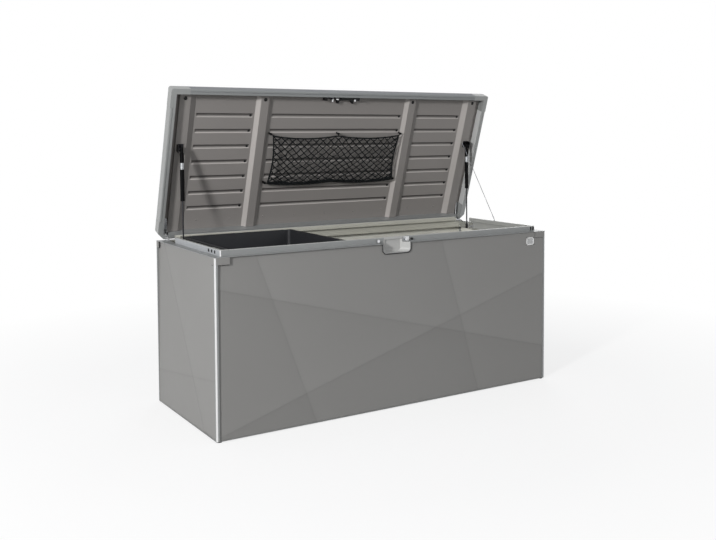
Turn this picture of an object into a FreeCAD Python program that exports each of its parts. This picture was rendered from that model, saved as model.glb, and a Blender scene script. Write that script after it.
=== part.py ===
import FreeCAD, Part
import math
import os
import Sketcher
from FreeCAD import Placement, Rotation, Vector

# Large steel cushion box with its lid standing open on two gas springs.
# X runs along the box, the front faces -Y, Z is up, and the origin is on the ground
# under the middle of the body. Lid parts are drawn closed and swung open about the hinge.

os.makedirs("parts", exist_ok=True)
doc = FreeCAD.newDocument("storage_box")
sheet = doc.addObject("Spreadsheet::Sheet", "dims")


class Size:
    """A length or angle that keeps its number and the expression it came from."""

    def __init__(self, text, number):
        self.text = text
        self.number = float(number)

    def __float__(self):
        return self.number

    def __add__(self, other):
        other = asSize(other)
        return Size(f"({self.text} + {other.text})", self.number + other.number)

    def __radd__(self, other):
        return asSize(other) + self

    def __sub__(self, other):
        other = asSize(other)
        return Size(f"({self.text} - {other.text})", self.number - other.number)

    def __rsub__(self, other):
        return asSize(other) - self

    def __mul__(self, other):
        other = asSize(other)
        return Size(f"({self.text} * {other.text})", self.number * other.number)

    def __rmul__(self, other):
        return asSize(other) * self

    def __truediv__(self, other):
        other = asSize(other)
        return Size(f"({self.text} / {other.text})", self.number / other.number)

    def __neg__(self):
        return Size(f"(0 - {self.text})", -self.number)


def asSize(thing):
    return thing if isinstance(thing, Size) else Size(f"({float(thing)})", thing)


def sinOf(angle):
    return Size(f"sin({angle.text})", math.sin(math.radians(angle.number)))


def cosOf(angle):
    return Size(f"cos({angle.text})", math.cos(math.radians(angle.number)))


def rootOf(area):
    return Size(f"sqrt({area.text})", math.sqrt(area.number))


def angleOf(rise, run):
    return Size(f"atan2({rise.text}; {run.text})", math.degrees(math.atan2(rise.number, run.number)))


sheetRow = 0


def dim(alias, number):
    """Puts one driving value in the sheet and gives it back as a Size."""
    global sheetRow
    sheetRow += 1
    sheet.set(f"A{sheetRow}", alias)
    sheet.set(f"B{sheetRow}", str(number))
    sheet.setAlias(f"B{sheetRow}", alias)
    return Size(f"dims.{alias}", number)


# Whole box
boxLength = dim("boxLength", 2000)
boxDepth = dim("boxDepth", 830)
panelHeight = dim("panelHeight", 860)
footHeight = dim("footHeight", 5)
lidOpenAngle = dim("lidOpenAngle", 71.5)
seatGap = dim("seatGap", 0.3)

# Sheet metal
frameMetal = dim("frameMetal", 1.5)
panelMetal = dim("panelMetal", 1)
lidMetal = dim("lidMetal", 1.2)

# Corner posts and base
postSide = dim("postSide", 16)
postRadius = dim("postRadius", 8)
baseRailHeight = dim("baseRailHeight", 30)
channelWidth = dim("channelWidth", 60)
channelShare = dim("channelShare", 0.62)
footRadius = dim("footRadius", 14)
footInset = dim("footInset", 18)
floorBeadWidth = dim("floorBeadWidth", 34)
floorBeadHeight = dim("floorBeadHeight", 6)
floorBeadEnd = dim("floorBeadEnd", 60)
floorBeadSlope = dim("floorBeadSlope", 6)
floorGap = dim("floorGap", 0.1)
floorLap = dim("floorLap", 0.8)
beadSkinShare = 0.7

# Pressed creases: least inset of a panel, and how much deeper its lowest corner lies
panelInset = dim("panelInset", 1.8)
frontCreaseDepth = dim("frontCreaseDepth", 11)
sideCreaseDepth = dim("sideCreaseDepth", 8)

# Rim: ledge the lid sits on, and the collar that stands up inside it
ledgeWidth = dim("ledgeWidth", 45)
ledgeFlange = dim("ledgeFlange", 40)
collarHeight = dim("collarHeight", 28)
collarWidth = dim("collarWidth", 14)
collarRadius = dim("collarRadius", 3)
collarClear = dim("collarClear", 4)
shelfDrop = dim("shelfDrop", 12)
shelfWidth = dim("shelfWidth", 10)
sideCollarEnd = dim("sideCollarEnd", 170)
rimCornerFrontLeg = dim("rimCornerFrontLeg", 40)
rimCornerSideLeg = dim("rimCornerSideLeg", 130)
rimCornerProud = dim("rimCornerProud", 0.6)
slotWidth = dim("slotWidth", 9)
slotHeight = dim("slotHeight", 11)
slotRise = dim("slotRise", 8)
rimCornerRadius = dim("rimCornerRadius", 6)
slotPitch = dim("slotPitch", 39)
slotDepth = dim("slotDepth", 6)
slotStart = dim("slotStart", 61)
bodyCapFront = dim("bodyCapFront", 75)
bodyCapSide = dim("bodyCapSide", 40)
bodyCapHeight = dim("bodyCapHeight", 35)
bodyCapWall = dim("bodyCapWall", 1.2)

# Grip cup in the front
cupCentre = dim("cupCentre", -8)
cupWidth = dim("cupWidth", 170)
cupDrop = dim("cupDrop", 52)
cupRise = dim("cupRise", 18)
cupDepth = dim("cupDepth", 54)
cupBackWidth = dim("cupBackWidth", 98)
cupCorner = dim("cupCorner", 20)
cupWall = dim("cupWall", 2)
cupLip = dim("cupLip", 4)
cupLipWall = dim("cupLipWall", 1)
cupProud = dim("cupProud", 1.4)
neckGap = dim("neckGap", 3)

# Lid
lidGap = dim("lidGap", 1)
lidRailWidth = dim("lidRailWidth", 28)
lidRailDepth = dim("lidRailDepth", 50.8)
lidRailRadius = dim("lidRailRadius", 5)
lidGrooveWidth = dim("lidGrooveWidth", 3)
lidGrooveDepth = dim("lidGrooveDepth", 2.5)
lidCapLeg = dim("lidCapLeg", 100)
lidCapProud = dim("lidCapProud", 0.5)
lidFrontRadius = dim("lidFrontRadius", 12)
lidRearChamfer = dim("lidRearChamfer", 34)
lidRearBevel = dim("lidRearBevel", 6)
lidCapDrop = dim("lidCapDrop", 0.3)
hingeSlotGap = dim("hingeSlotGap", 5)
sheetEdge = dim("sheetEdge", 1)
beadWidth = dim("beadWidth", 24)
beadHeight = dim("beadHeight", 5)
beadPitch = dim("beadPitch", 87.5)
beadCount = 7
beadSlope = dim("beadSlope", 6)
bayGap = dim("bayGap", 8)
braceShare = dim("braceShare", 0.472)
braceDepth = dim("braceDepth", 18)
braceFace = dim("braceFace", 44)
braceBase = dim("braceBase", 92)
stiffenerInset = dim("stiffenerInset", 58)
stiffenerFace = dim("stiffenerFace", 58)
stiffenerSlope = dim("stiffenerSlope", 34)

# Hinges
hingeInset = dim("hingeInset", 10)
hingeRise = dim("hingeRise", 20)
hingePlateWall = dim("hingePlateWall", 4)
hingeEar = dim("hingeEar", 10)
hingeStep = dim("hingeStep", 48)
hingeSlope = dim("hingeSlope", 12)
hingeToe = dim("hingeToe", 6)
hingeHeel = dim("hingeHeel", 8)
hingePinRadius = dim("hingePinRadius", 4)
hingePinHead = dim("hingePinHead", 3)
hingePinPast = dim("hingePinPast", 2)
hingeSideGap = dim("hingeSideGap", 0.5)
hingeFootWall = dim("hingeFootWall", 3)
hingeFootReach = dim("hingeFootReach", 20)
hingeKnee = dim("hingeKnee", 3)
hingeFoot = dim("hingeFoot", 5)
runningGap = dim("runningGap", 0.05)
hingePlateLength = dim("hingePlateLength", 130)
hingeArmLength = dim("hingeArmLength", 90)

# Gas springs
springInset = dim("springInset", 85)
springFootInset = dim("springFootInset", 180)
springFootDrop = dim("springFootDrop", 27)
springHeadInset = dim("springHeadInset", 505)
springHeadRise = dim("springHeadRise", 11)
cylinderRadius = dim("cylinderRadius", 11)
cylinderBore = dim("cylinderBore", 9)
cylinderLength = dim("cylinderLength", 270)
cylinderEndWall = dim("cylinderEndWall", 8)
cylinderTaper = dim("cylinderTaper", 3)
socketTaper = dim("socketTaper", 4)
rodRadius = dim("rodRadius", 4)
rodLength = dim("rodLength", 262)
pistonLength = dim("pistonLength", 10)
socketRadius = dim("socketRadius", 8)
socketBelow = dim("socketBelow", 9)
socketAbove = dim("socketAbove", 20)
studRadius = dim("studRadius", 4)
studPast = dim("studPast", 4)
bracketWidth = dim("bracketWidth", 40)
bracketDrop = dim("bracketDrop", 18)
bracketRise = dim("bracketRise", 24)
bracketWall = dim("bracketWall", 3)
bracketReach = dim("bracketReach", 34)
openPivotGap = dim("openPivotGap", 0.5)

# Latch
studHeight = dim("studHeight", 12)
studLeft = dim("studLeft", -104)
studRight = dim("studRight", 66)
studHeadRadius = dim("studHeadRadius", 8)
studHeadWidth = dim("studHeadWidth", 3)
studNeckRadius = dim("studNeckRadius", 3.5)
studNeckLength = dim("studNeckLength", 7.5)
plateWall = dim("plateWall", 2)
platePastLeft = dim("platePastLeft", 12)
platePastRight = dim("platePastRight", 22)
latchTravel = dim("latchTravel", 14)
latchRodInset = dim("latchRodInset", 37)
latchRodHeight = dim("latchRodHeight", 40)
latchRodRadius = dim("latchRodRadius", 4)
hookWall = dim("hookWall", 3)
hookReach = dim("hookReach", 9)
hookBack = dim("hookBack", 10)
hookSlotGap = dim("hookSlotGap", 0.6)
hookStrip = dim("hookStrip", 9)
guideWidth = dim("guideWidth", 22)
guideCentreGap = dim("guideCentreGap", 204)
latchCentre = dim("latchCentre", -7)
gripCentre = dim("gripCentre", 16)
gripWidth = dim("gripWidth", 108)
gripThickness = dim("gripThickness", 12)
gripHang = dim("gripHang", 72)
gripRise = dim("gripRise", 14)
gripTop = dim("gripTop", 48)
gripRadius = dim("gripRadius", 3)
gripPlate = dim("gripPlate", 14)
gripReach = dim("gripReach", 24)
gripFootReach = dim("gripFootReach", 42)
gripFootWidth = dim("gripFootWidth", 12)
gripArch = dim("gripArch", 8)
guideSeat = dim("guideSeat", 2)
guideRise = dim("guideRise", 10)
guideGrip = dim("guideGrip", 6)
hookPlate = dim("hookPlate", 4.5)
hookFoot = dim("hookFoot", 3)

# Badge and buffer
badgeSide = dim("badgeSide", 50)
badgeWall = dim("badgeWall", 1.2)
badgeRadius = dim("badgeRadius", 4)
badgeInset = dim("badgeInset", 111)
badgeDrop = dim("badgeDrop", 58)
bufferX = dim("bufferX", 104)
bufferRadius = dim("bufferRadius", 6)
bufferLength = dim("bufferLength", 11)

# Tray, net and stay
trayLeft = dim("trayLeft", 107)
trayWidth = dim("trayWidth", 648)
trayDepth = dim("trayDepth", 110)
trayWall = dim("trayWall", 3)
trayLip = dim("trayLip", 2.5)
trayGap = dim("trayGap", 0.5)
trayReach = dim("trayReach", 12)
trayRadius = dim("trayRadius", 22)
netInset = dim("netInset", 46)
netTop = dim("netTop", -170)
netBottom = dim("netBottom", 130)
netHeight = dim("netHeight", 24)
netWall = dim("netWall", 1.5)
netSag = dim("netSag", 16)
netHem = dim("netHem", 5)
netPitchX = dim("netPitchX", 50)
netPitchY = dim("netPitchY", 40)
netCord = dim("netCord", 3)
netHook = dim("netHook", 8)
stayRadius = dim("stayRadius", 1.3)
stayLowInset = dim("stayLowInset", 52)
stayLowY = dim("stayLowY", -5)
stayHighInset = dim("stayHighInset", 107)
stayHighY = dim("stayHighY", -95)
stayEye = dim("stayEye", 4)
stayEyeHeight = dim("stayEyeHeight", 6)
stayLift = dim("stayLift", 1.5)
screwRadius = dim("screwRadius", 4.5)
screwHead = dim("screwHead", 2.5)
screwInset = dim("screwInset", 52)

halfLength = boxLength / 2
halfDepth = boxDepth / 2
ledge = footHeight + panelHeight
collarTop = ledge + collarHeight
collarInner = ledgeWidth + collarWidth
lidUnder = ledge + lidGap + lidRailDepth
lidTop = lidUnder + lidMetal
braceFaceZ = lidUnder - braceDepth
hingeY = halfDepth - hingeInset
hingeZ = ledge + hingeRise
springX = halfLength - springInset
springFootY = halfDepth - springFootInset
springHeadY = halfDepth - springHeadInset
braceCentre = halfLength * braceShare
bayInner = braceCentre - braceBase / 2 - bayGap
bayOuterStart = braceCentre + braceBase / 2 + bayGap
stiffenerOuter = halfLength - stiffenerInset
bayOuterEnd = stiffenerOuter - stiffenerFace - stiffenerSlope - bayGap
channelSpacing = halfLength * channelShare
floorBeadPitch = channelSpacing / 3
badgeX = halfLength - badgeInset
netLeft = netInset - braceCentre
netRight = braceCentre - netInset
stayLowX = halfLength - stayLowInset
stayHighX = halfLength - stayHighInset

cupNeck = cupBackWidth / 2 + (cupWidth - cupBackWidth) / 2 * (cupDepth - ledgeWidth) / cupDepth + neckGap

# Where a closed lid point goes when the lid is open
lidMoveY = hingeY - hingeY * cosOf(lidOpenAngle) - hingeZ * sinOf(lidOpenAngle)
lidMoveZ = hingeZ + hingeY * sinOf(lidOpenAngle) - hingeZ * cosOf(lidOpenAngle)


def openY(closedY, closedZ):
    return lidMoveY + closedY * cosOf(lidOpenAngle) + closedZ * sinOf(lidOpenAngle)


def openZ(closedY, closedZ):
    return lidMoveZ - closedY * sinOf(lidOpenAngle) + closedZ * cosOf(lidOpenAngle)


nodes = []


def keep(obj, label):
    obj.Label = label
    nodes.append(obj)
    return obj


def bind(obj, prop, size):
    obj.setExpression(prop, asSize(size).text)


def moveTo(obj, x, y, z):
    place = Vector(float(x), float(y), float(z))
    obj.Placement = Placement(place, obj.Placement.Rotation)
    bind(obj, "Placement.Base.x", x)
    bind(obj, "Placement.Base.y", y)
    bind(obj, "Placement.Base.z", z)


def swingOpen(obj):
    """Places a part drawn on the closed lid where the open lid carries it."""
    turn = Rotation(Vector(-1, 0, 0), lidOpenAngle.number)
    obj.Placement = Placement(Vector(0, float(lidMoveY), float(lidMoveZ)), turn)
    bind(obj, "Placement.Base.y", lidMoveY)
    bind(obj, "Placement.Base.z", lidMoveZ)
    bind(obj, "Placement.Rotation.Angle", lidOpenAngle)


def newBody(label):
    body = doc.addObject("PartDesign::Body", label)
    return keep(body, label)


def originPlane(body, role):
    for feature in body.Origin.OriginFeatures:
        if feature.Role == role:
            return feature
    raise ValueError(role)


class Outline:
    """Draws closed outlines in a sketch, every corner tied to the sheet.

    A corner is (a, b) or (a, b, radius). A rounded corner joins two lines that
    each run along a sketch axis.
    """

    def __init__(self, body, name, plane, start=0):
        self.sketch = body.newObject("Sketcher::SketchObject", name)
        self.sketch.AttachmentSupport = [(originPlane(body, plane), "")]
        self.sketch.MapMode = "FlatFace"
        start = asSize(start)
        self.sketch.AttachmentOffset = Placement(Vector(0, 0, start.number), Rotation())
        bind(self.sketch, "AttachmentOffset.Base.z", start)

    def hold(self, kind, geometry, point, size):
        size = asSize(size)
        index = self.sketch.addConstraint(Sketcher.Constraint(kind, geometry, point, size.number))
        bind(self.sketch, f"Constraints[{index}]", size)

    def circle(self, a, b, radius):
        a, b, radius = asSize(a), asSize(b), asSize(radius)
        ring = Part.Circle(Vector(a.number, b.number, 0), Vector(0, 0, 1), radius.number)
        index = self.sketch.addGeometry(ring, False)
        self.hold("DistanceX", index, 3, a)
        self.hold("DistanceY", index, 3, b)
        count = self.sketch.addConstraint(Sketcher.Constraint("Radius", index, radius.number))
        bind(self.sketch, f"Constraints[{count}]", radius)
        return self

    def loop(self, corners):
        sketch = self.sketch
        corners = [tuple(asSize(value) for value in corner) for corner in corners]
        count = len(corners)
        points = [Vector(c[0].number, c[1].number, 0) for c in corners]
        rounded = [len(c) == 3 for c in corners]
        ahead = [(points[(i + 1) % count] - points[i]).normalize() for i in range(count)]
        leave, reach = [], []
        for i in range(count):
            radius = corners[i][2].number if rounded[i] else 0
            leave.append(points[i] + ahead[i] * radius)
            reach.append(points[i] - ahead[i - 1] * radius)
        lines = []
        for i in range(count):
            segment = Part.LineSegment(leave[i], reach[(i + 1) % count])
            lines.append(sketch.addGeometry(segment, False))
        known = [set() for i in range(count)]
        for i in range(count):
            following = (i + 1) % count
            if not (rounded[i] or rounded[following]):
                continue
            level = abs(ahead[i].x) > abs(ahead[i].y)
            sketch.addConstraint(Sketcher.Constraint("Horizontal" if level else "Vertical", lines[i]))
            if level:
                self.hold("DistanceY", lines[i], 1, corners[i][1])
            else:
                self.hold("DistanceX", lines[i], 1, corners[i][0])
            for corner in (i, following):
                known[corner].add("b" if level else "a")
        for i in range(count):
            before = lines[i - 1]
            if not rounded[i]:
                sketch.addConstraint(Sketcher.Constraint("Coincident", before, 2, lines[i], 1))
                if "a" not in known[i]:
                    self.hold("DistanceX", lines[i], 1, corners[i][0])
                if "b" not in known[i]:
                    self.hold("DistanceY", lines[i], 1, corners[i][1])
                continue
            radius = corners[i][2]
            centre = reach[i] + ahead[i] * radius.number
            turnsLeft = ahead[i - 1].cross(ahead[i]).z > 0
            first, last = (reach[i], leave[i]) if turnsLeft else (leave[i], reach[i])
            fromAngle = math.atan2(first.y - centre.y, first.x - centre.x)
            toAngle = math.atan2(last.y - centre.y, last.x - centre.x)
            ring = Part.Circle(centre, Vector(0, 0, 1), radius.number)
            arc = sketch.addGeometry(Part.ArcOfCircle(ring, fromAngle, toAngle), False)
            startPoint, endPoint = (1, 2) if turnsLeft else (2, 1)
            sketch.addConstraint(Sketcher.Constraint("Tangent", before, 2, arc, startPoint))
            sketch.addConstraint(Sketcher.Constraint("Tangent", arc, endPoint, lines[i], 1))
            index = sketch.addConstraint(Sketcher.Constraint("Radius", arc, radius.number))
            bind(sketch, f"Constraints[{index}]", radius)
        return self

    def box(self, lowA, highA, lowB, highB, radius=None):
        corners = [(lowA, lowB), (highA, lowB), (highA, highB), (lowA, highB)]
        if radius is not None:
            corners = [corner + (radius,) for corner in corners]
        return self.loop(corners)


def pad(body, outline, length, name="Pad", back=False):
    feature = body.newObject("PartDesign::Pad", name)
    feature.Profile = outline.sketch
    feature.Length = float(length)
    feature.Reversed = back
    bind(feature, "Length", length)
    return feature


def pocket(body, outline, length, name="Pocket", back=False):
    doc.recompute()
    feature = body.newObject("PartDesign::Pocket", name)
    feature.Profile = outline.sketch
    feature.Length = float(length)
    feature.Reversed = back
    bind(feature, "Length", length)
    return feature


def revolve(body, outline, axis, name="Revolution"):
    feature = body.newObject("PartDesign::Revolution", name)
    feature.Profile = outline.sketch
    feature.ReferenceAxis = (outline.sketch, [axis])
    feature.Angle = 360
    return feature


def alongX(label, corners, lowX, highX, holes=()):
    """A section drawn in Y and Z, run from lowX to highX."""
    body = newBody(label)
    outline = Outline(body, "Section", "YZ_Plane", lowX).loop(corners)
    for hole in holes:
        outline.loop(hole)
    pad(body, outline, asSize(highX) - lowX)
    return body


def alongY(label, corners, lowY, highY, holes=()):
    """A section drawn in X and Z, run from lowY to highY."""
    body = newBody(label)
    outline = Outline(body, "Section", "XZ_Plane", -asSize(highY)).loop(corners)
    for hole in holes:
        outline.loop(hole)
    pad(body, outline, asSize(highY) - lowY)
    return body


def alongZ(label, corners, lowZ, highZ, holes=()):
    """A plan drawn in X and Y, run from lowZ to highZ."""
    body = newBody(label)
    outline = Outline(body, "Section", "XY_Plane", lowZ).loop(corners)
    for hole in holes:
        outline.loop(hole)
    pad(body, outline, asSize(highZ) - lowZ)
    return body


def fromFace(side, half, corners):
    """Turns corners measured inwards from an outer face into row coordinates."""
    return [(side * (half - corner[0]),) + tuple(corner[1:]) for corner in corners]


def group(label, members):
    """Hands in several small pieces of one kind as one part."""
    compound = doc.addObject("Part::Compound", label)
    compound.Links = members
    for member in members:
        nodes.remove(member)
    return keep(compound, label)


def shapeNode(label, shape):
    obj = doc.addObject("Part::Feature", label)
    obj.Shape = shape
    return keep(obj, label)


# Pressed panels: flat facets that meet in straight creases. The surface is the sum of one
# tent per crease, so every facet stays flat. A ridge falls back on both sides of its line and
# a valley comes forward.
def splitCells(cells, crease):
    (ax, az), (bx, bz) = crease
    result = []
    for cell in cells:
        for sign in (1, -1):
            side = [sign * ((bx - ax) * (z - az) - (bz - az) * (x - ax)) for x, z in cell]
            piece = []
            for i, (x, z) in enumerate(cell):
                following = (i + 1) % len(cell)
                if side[i] >= -1e-6:
                    piece.append((x, z))
                if side[i] * side[following] < 0 and min(abs(side[i]), abs(side[following])) > 1e-6:
                    share = side[i] / (side[i] - side[following])
                    nx, nz = cell[following]
                    piece.append((x + (nx - x) * share, z + (nz - z) * share))
            if len(piece) > 2:
                result.append(piece)
    return result


def tentSum(creases, x, z):
    total = 0
    for (ax, az), (bx, bz), way in creases:
        length = math.hypot(bx - ax, bz - az)
        away = abs((bx - ax) * (z - az) - (bz - az) * (x - ax)) / length
        total += way * away
    return total


class Pressing:
    def __init__(self, width, creases, depth):
        low, high = float(footHeight + frameMetal + seatGap), float(ledge - frameMetal - seatGap)
        half = float(width / 2 - postSide - seatGap)
        self.creases = creases
        self.cells = [[(-half, low), (half, low), (half, high), (-half, high)]]
        for start, end, way in creases:
            self.cells = splitCells(self.cells, (start, end))
        sums = [tentSum(creases, x, z) for cell in self.cells for x, z in cell]
        self.least = min(sums)
        self.slope = float(depth) / (max(sums) - self.least)

    def inset(self, x, z):
        return float(panelInset) + self.slope * (tentSum(self.creases, x, z) - self.least)

    def solid(self):
        prisms = []
        for cell in self.cells:
            ring = [Vector(x, self.inset(x, z), z) for x, z in cell]
            face = Part.Face(Part.makePolygon(ring + [ring[0]]))
            prisms.append(face.extrude(Vector(0, float(panelMetal), 0)))
        return prisms[0].multiFuse(prisms[1:])

    def deepest(self):
        return max(self.inset(x, z) for cell in self.cells for x, z in cell)


# Crease ends on the front, as shares of its length from the left and of its height from the foot
creaseTopA = dim("creaseTopA", 0.104)
creaseFootA = dim("creaseFootA", 0.2615)
creaseLeftB = dim("creaseLeftB", 0.831)
creaseRightB = dim("creaseRightB", 0.219)
creaseTopC = dim("creaseTopC", 0.6385)
creaseFootC = dim("creaseFootC", 0.761)
creaseLeftD = dim("creaseLeftD", 0.012)
creaseRightD = dim("creaseRightD", 0.723)
# Crease ends on a side panel, as shares of its depth from the front and of its height
creaseTopS = dim("creaseTopS", 0.875)
creaseFootS = dim("creaseFootS", 0.2)
creaseRearT = dim("creaseRearT", 0.198)
creaseFootT = dim("creaseFootT", 0.328)
ridge, valley = 1, -1


def onPanel(width, across, up, mirror):
    """A point of a panel from its shares, with a panel's left edge at mirror * -width / 2."""
    x = mirror * float(width) * (float(across) - 0.5)
    return x, float(footHeight) + float(panelHeight) * float(up)


def longCreases(mirror):
    creases = []
    for start, end in ((creaseTopA, creaseFootA), (creaseTopC, creaseFootC)):
        creases.append((onPanel(boxLength, start, 1, mirror), onPanel(boxLength, end, 0, mirror), valley))
    for start, end in ((creaseLeftB, creaseRightB), (creaseLeftD, creaseRightD)):
        creases.append((onPanel(boxLength, 0, start, mirror), onPanel(boxLength, 1, end, mirror), ridge))
    return creases


def sideCreases(mirror):
    steep = (onPanel(boxDepth, creaseTopS, 1, mirror), onPanel(boxDepth, creaseFootS, 0, mirror), valley)
    low = (onPanel(boxDepth, 1, creaseRearT, mirror), onPanel(boxDepth, creaseFootT, 0, mirror), ridge)
    return [steep, low]


frontPressing = Pressing(boxLength, longCreases(1), frontCreaseDepth)
rearPressing = Pressing(boxLength, longCreases(-1), frontCreaseDepth)
leftPressing = Pressing(boxDepth, sideCreases(-1), sideCreaseDepth)
rightPressing = Pressing(boxDepth, sideCreases(1), sideCreaseDepth)

# Front panel, with the opening that the grip cup drops into
cupLow = float(ledge - cupDrop)
opening = Part.makeBox(float(cupWidth), float(cupDepth), float(cupDrop) + 1)
opening.translate(Vector(float(cupCentre - cupWidth / 2), -1, cupLow))
frontPanel = shapeNode("front_panel", frontPressing.solid().cut(opening))
moveTo(frontPanel, 0, -halfDepth, 0)
rearPanel = shapeNode("rear_panel", rearPressing.solid())
rearPanel.Placement = Placement(Vector(), Rotation(Vector(0, 0, 1), 180))
moveTo(rearPanel, 0, halfDepth, 0)
leftPanel = shapeNode("left_panel", leftPressing.solid())
leftPanel.Placement = Placement(Vector(), Rotation(Vector(0, 0, 1), -90))
moveTo(leftPanel, -halfLength, 0, 0)
rightPanel = shapeNode("right_panel", rightPressing.solid())
rightPanel.Placement = Placement(Vector(), Rotation(Vector(0, 0, 1), 90))
moveTo(rightPanel, halfLength, 0, 0)

# Corner posts: square tube with one round edge, standing on the feet
corners = [("front_left", -1, -1), ("front_right", 1, -1), ("rear_left", -1, 1), ("rear_right", 1, 1)]
for place, sx, sy in corners:
    outerX, outerY = sx * halfLength, sy * halfDepth
    innerX, innerY = sx * (halfLength - postSide), sy * (halfDepth - postSide)
    wallX, wallY = sx * (halfLength - frameMetal), sy * (halfDepth - frameMetal)
    deepX, deepY = sx * (halfLength - postSide + frameMetal), sy * (halfDepth - postSide + frameMetal)
    outside = [(outerX, outerY, postRadius), (outerX, innerY), (innerX, innerY), (innerX, outerY)]
    inside = [(wallX, wallY, postRadius - frameMetal), (wallX, deepY), (deepX, deepY), (deepX, wallY)]
    alongZ("post_" + place, outside, footHeight, ledge - bodyCapHeight, [inside])

# Corner caps: plastic corners on top of the posts, lying over the panels' upper corners
def cornerCap(sx, sy):
    """One L-shaped cap round a top corner of the body."""
    radius, wall = float(postRadius), float(bodyCapWall)
    side, front, back = float(postSide), float(bodyCapFront), float(bodyCapSide)
    half = math.sqrt(0.5)
    start, end = Vector(radius, 0, 0), Vector(0, radius, 0)
    middle = Vector(radius * (1 - half), radius * (1 - half), 0)
    path = [start, Vector(front, 0, 0), Vector(front, wall, 0), Vector(side, wall, 0), Vector(side, side, 0),
            Vector(wall, side, 0), Vector(wall, back, 0), Vector(0, back, 0), end]
    edges = [Part.makeLine(path[i], path[i + 1]) for i in range(len(path) - 1)]
    edges.append(Part.Arc(end, middle, start).toShape())
    face = Part.Face(Part.Wire(Part.__sortEdges__(edges)))
    solid = face.extrude(Vector(0, 0, float(bodyCapHeight - frameMetal)))
    if sx > 0:
        solid = solid.mirror(Vector(), Vector(1, 0, 0))
    if sy > 0:
        solid = solid.mirror(Vector(), Vector(0, 1, 0))
    solid.translate(Vector(sx * float(halfLength), sy * float(halfDepth), float(ledge - bodyCapHeight)))
    return solid


shapeNode("body_corner_caps", Part.makeCompound([cornerCap(sx, sy) for place, sx, sy in corners]))


def footPad(sx, sy):
    """One black pad under a corner."""
    radius, tall = float(footRadius), float(footHeight)
    solid = Part.makeCylinder(radius, tall)
    solid.translate(Vector(sx * float(halfLength - footInset), sy * float(halfDepth - footInset), 0))
    return solid


shapeNode("feet", Part.makeCompound([footPad(sx, sy) for place, sx, sy in corners]))

# Base: angle rails under the panels, three channels on the ground, and the floor on top
railTop = footHeight + baseRailHeight
angle = [(0, footHeight), (postSide + frameMetal / 3, footHeight), (postSide + frameMetal / 3, railTop),
         (postSide - frameMetal * 2 / 3, railTop), (postSide - frameMetal * 2 / 3, footHeight + frameMetal),
         (0, footHeight + frameMetal)]
baseRails = []
for name, side in (("front", -1), ("rear", 1)):
    reach = halfLength - postSide
    baseRails.append(alongX(f"base_rail_{name}", fromFace(side, halfDepth, angle), -reach, reach))
for name, side in (("left", -1), ("right", 1)):
    reach = halfDepth - postSide - frameMetal
    baseRails.append(alongY(f"base_rail_{name}", fromFace(side, halfLength, angle), -reach, reach))
group("base_rails", baseRails)

channelHalf = channelWidth / 2
channelEnd = halfDepth - postSide - frameMetal / 3 - seatGap
for name, place in (("left", -1), ("middle", 0), ("right", 1)):
    middle = place * channelSpacing
    low, high = middle - channelHalf, middle + channelHalf
    section = [(low, 0), (high, 0), (high, railTop), (high - frameMetal, railTop),
               (high - frameMetal, frameMetal), (low + frameMetal, frameMetal), (low + frameMetal, railTop),
               (low, railTop)]
    alongY(f"floor_channel_{name}", section, -channelEnd, channelEnd)


def bead(lowX, highX, lowY, highY, low, rise, slope, skin):
    """A pressed bead standing up from a sheet: its outside, or its inside when skin is not 0."""
    top = rise - skin
    shift = skin * beadSkinShare
    solid = Part.makeWedge(lowX + shift, 0, lowY + shift, lowY + slope + shift, lowX + slope + shift,
                           highX - shift, top, highY - shift, highY - slope - shift, highX - slope - shift)
    solid.rotate(Vector(), Vector(1, 0, 0), 90)
    solid = solid.mirror(Vector(), Vector(0, 1, 0))
    solid.translate(Vector(0, 0, low))
    return solid


def beadedSheet(plate, low, thick, beads, rise, slope):
    """Fuses beads on a plate and hollows them from below."""
    outer = [bead(*spot, low + thick, rise, slope, 0) for spot in beads]
    inner = [bead(*spot, low, rise + thick, slope, thick) for spot in beads]
    return plate.multiFuse(outer).cut(Part.makeCompound(inner))


floorHalfX = float(halfLength - postSide - floorGap)
floorHalfY = float(halfDepth - postSide + floorLap)
floorLow = float(railTop)
floorCorner = Vector(-floorHalfX, -floorHalfY, floorLow)
floorPlate = Part.makeBox(2 * floorHalfX, 2 * floorHalfY, float(panelMetal), floorCorner)
floorSpots = []
for step in (-4, -2, -1, 1, 2, 4):
    middle = step * float(floorBeadPitch)
    half = float(floorBeadWidth) / 2
    reach = floorHalfY - float(floorBeadEnd)
    floorSpots.append((middle - half, middle + half, -reach, reach))
floorRise, floorSlope = float(floorBeadHeight), float(floorBeadSlope)
floorSheet = beadedSheet(floorPlate, floorLow, float(panelMetal), floorSpots, floorRise, floorSlope)
shapeNode("floor_panel", floorSheet)

# Rims: a ledge with a turned-down flange all round, and a collar standing on it
flangeIn = ledgeWidth + frameMetal
ledgeSection = [(0, ledge), (flangeIn, ledge), (flangeIn, ledge - frameMetal), (0, ledge - frameMetal)]
flangeLow = ledge - ledgeFlange
flangeSection = [(ledgeWidth, ledge), (flangeIn, ledge), (flangeIn, flangeLow), (ledgeWidth, flangeLow)]
shelfTop = collarTop - shelfDrop
collarOutside = [(ledgeWidth, ledge), (ledgeWidth, collarTop, collarRadius),
                 (collarInner, collarTop, collarRadius)]
collarInside = [(collarInner - frameMetal, collarTop - frameMetal),
                (ledgeWidth + frameMetal, collarTop - frameMetal), (ledgeWidth + frameMetal, ledge)]
collarFoot = ledge + collarClear
shelf = [(collarInner, shelfTop), (collarInner + shelfWidth, shelfTop),
         (collarInner + shelfWidth, collarFoot), (collarInner + shelfWidth - frameMetal, collarFoot),
         (collarInner + shelfWidth - frameMetal, shelfTop - frameMetal),
         (collarInner - frameMetal, shelfTop - frameMetal)]
plainWall = [(collarInner, collarFoot), (collarInner - frameMetal, collarFoot)]
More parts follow.
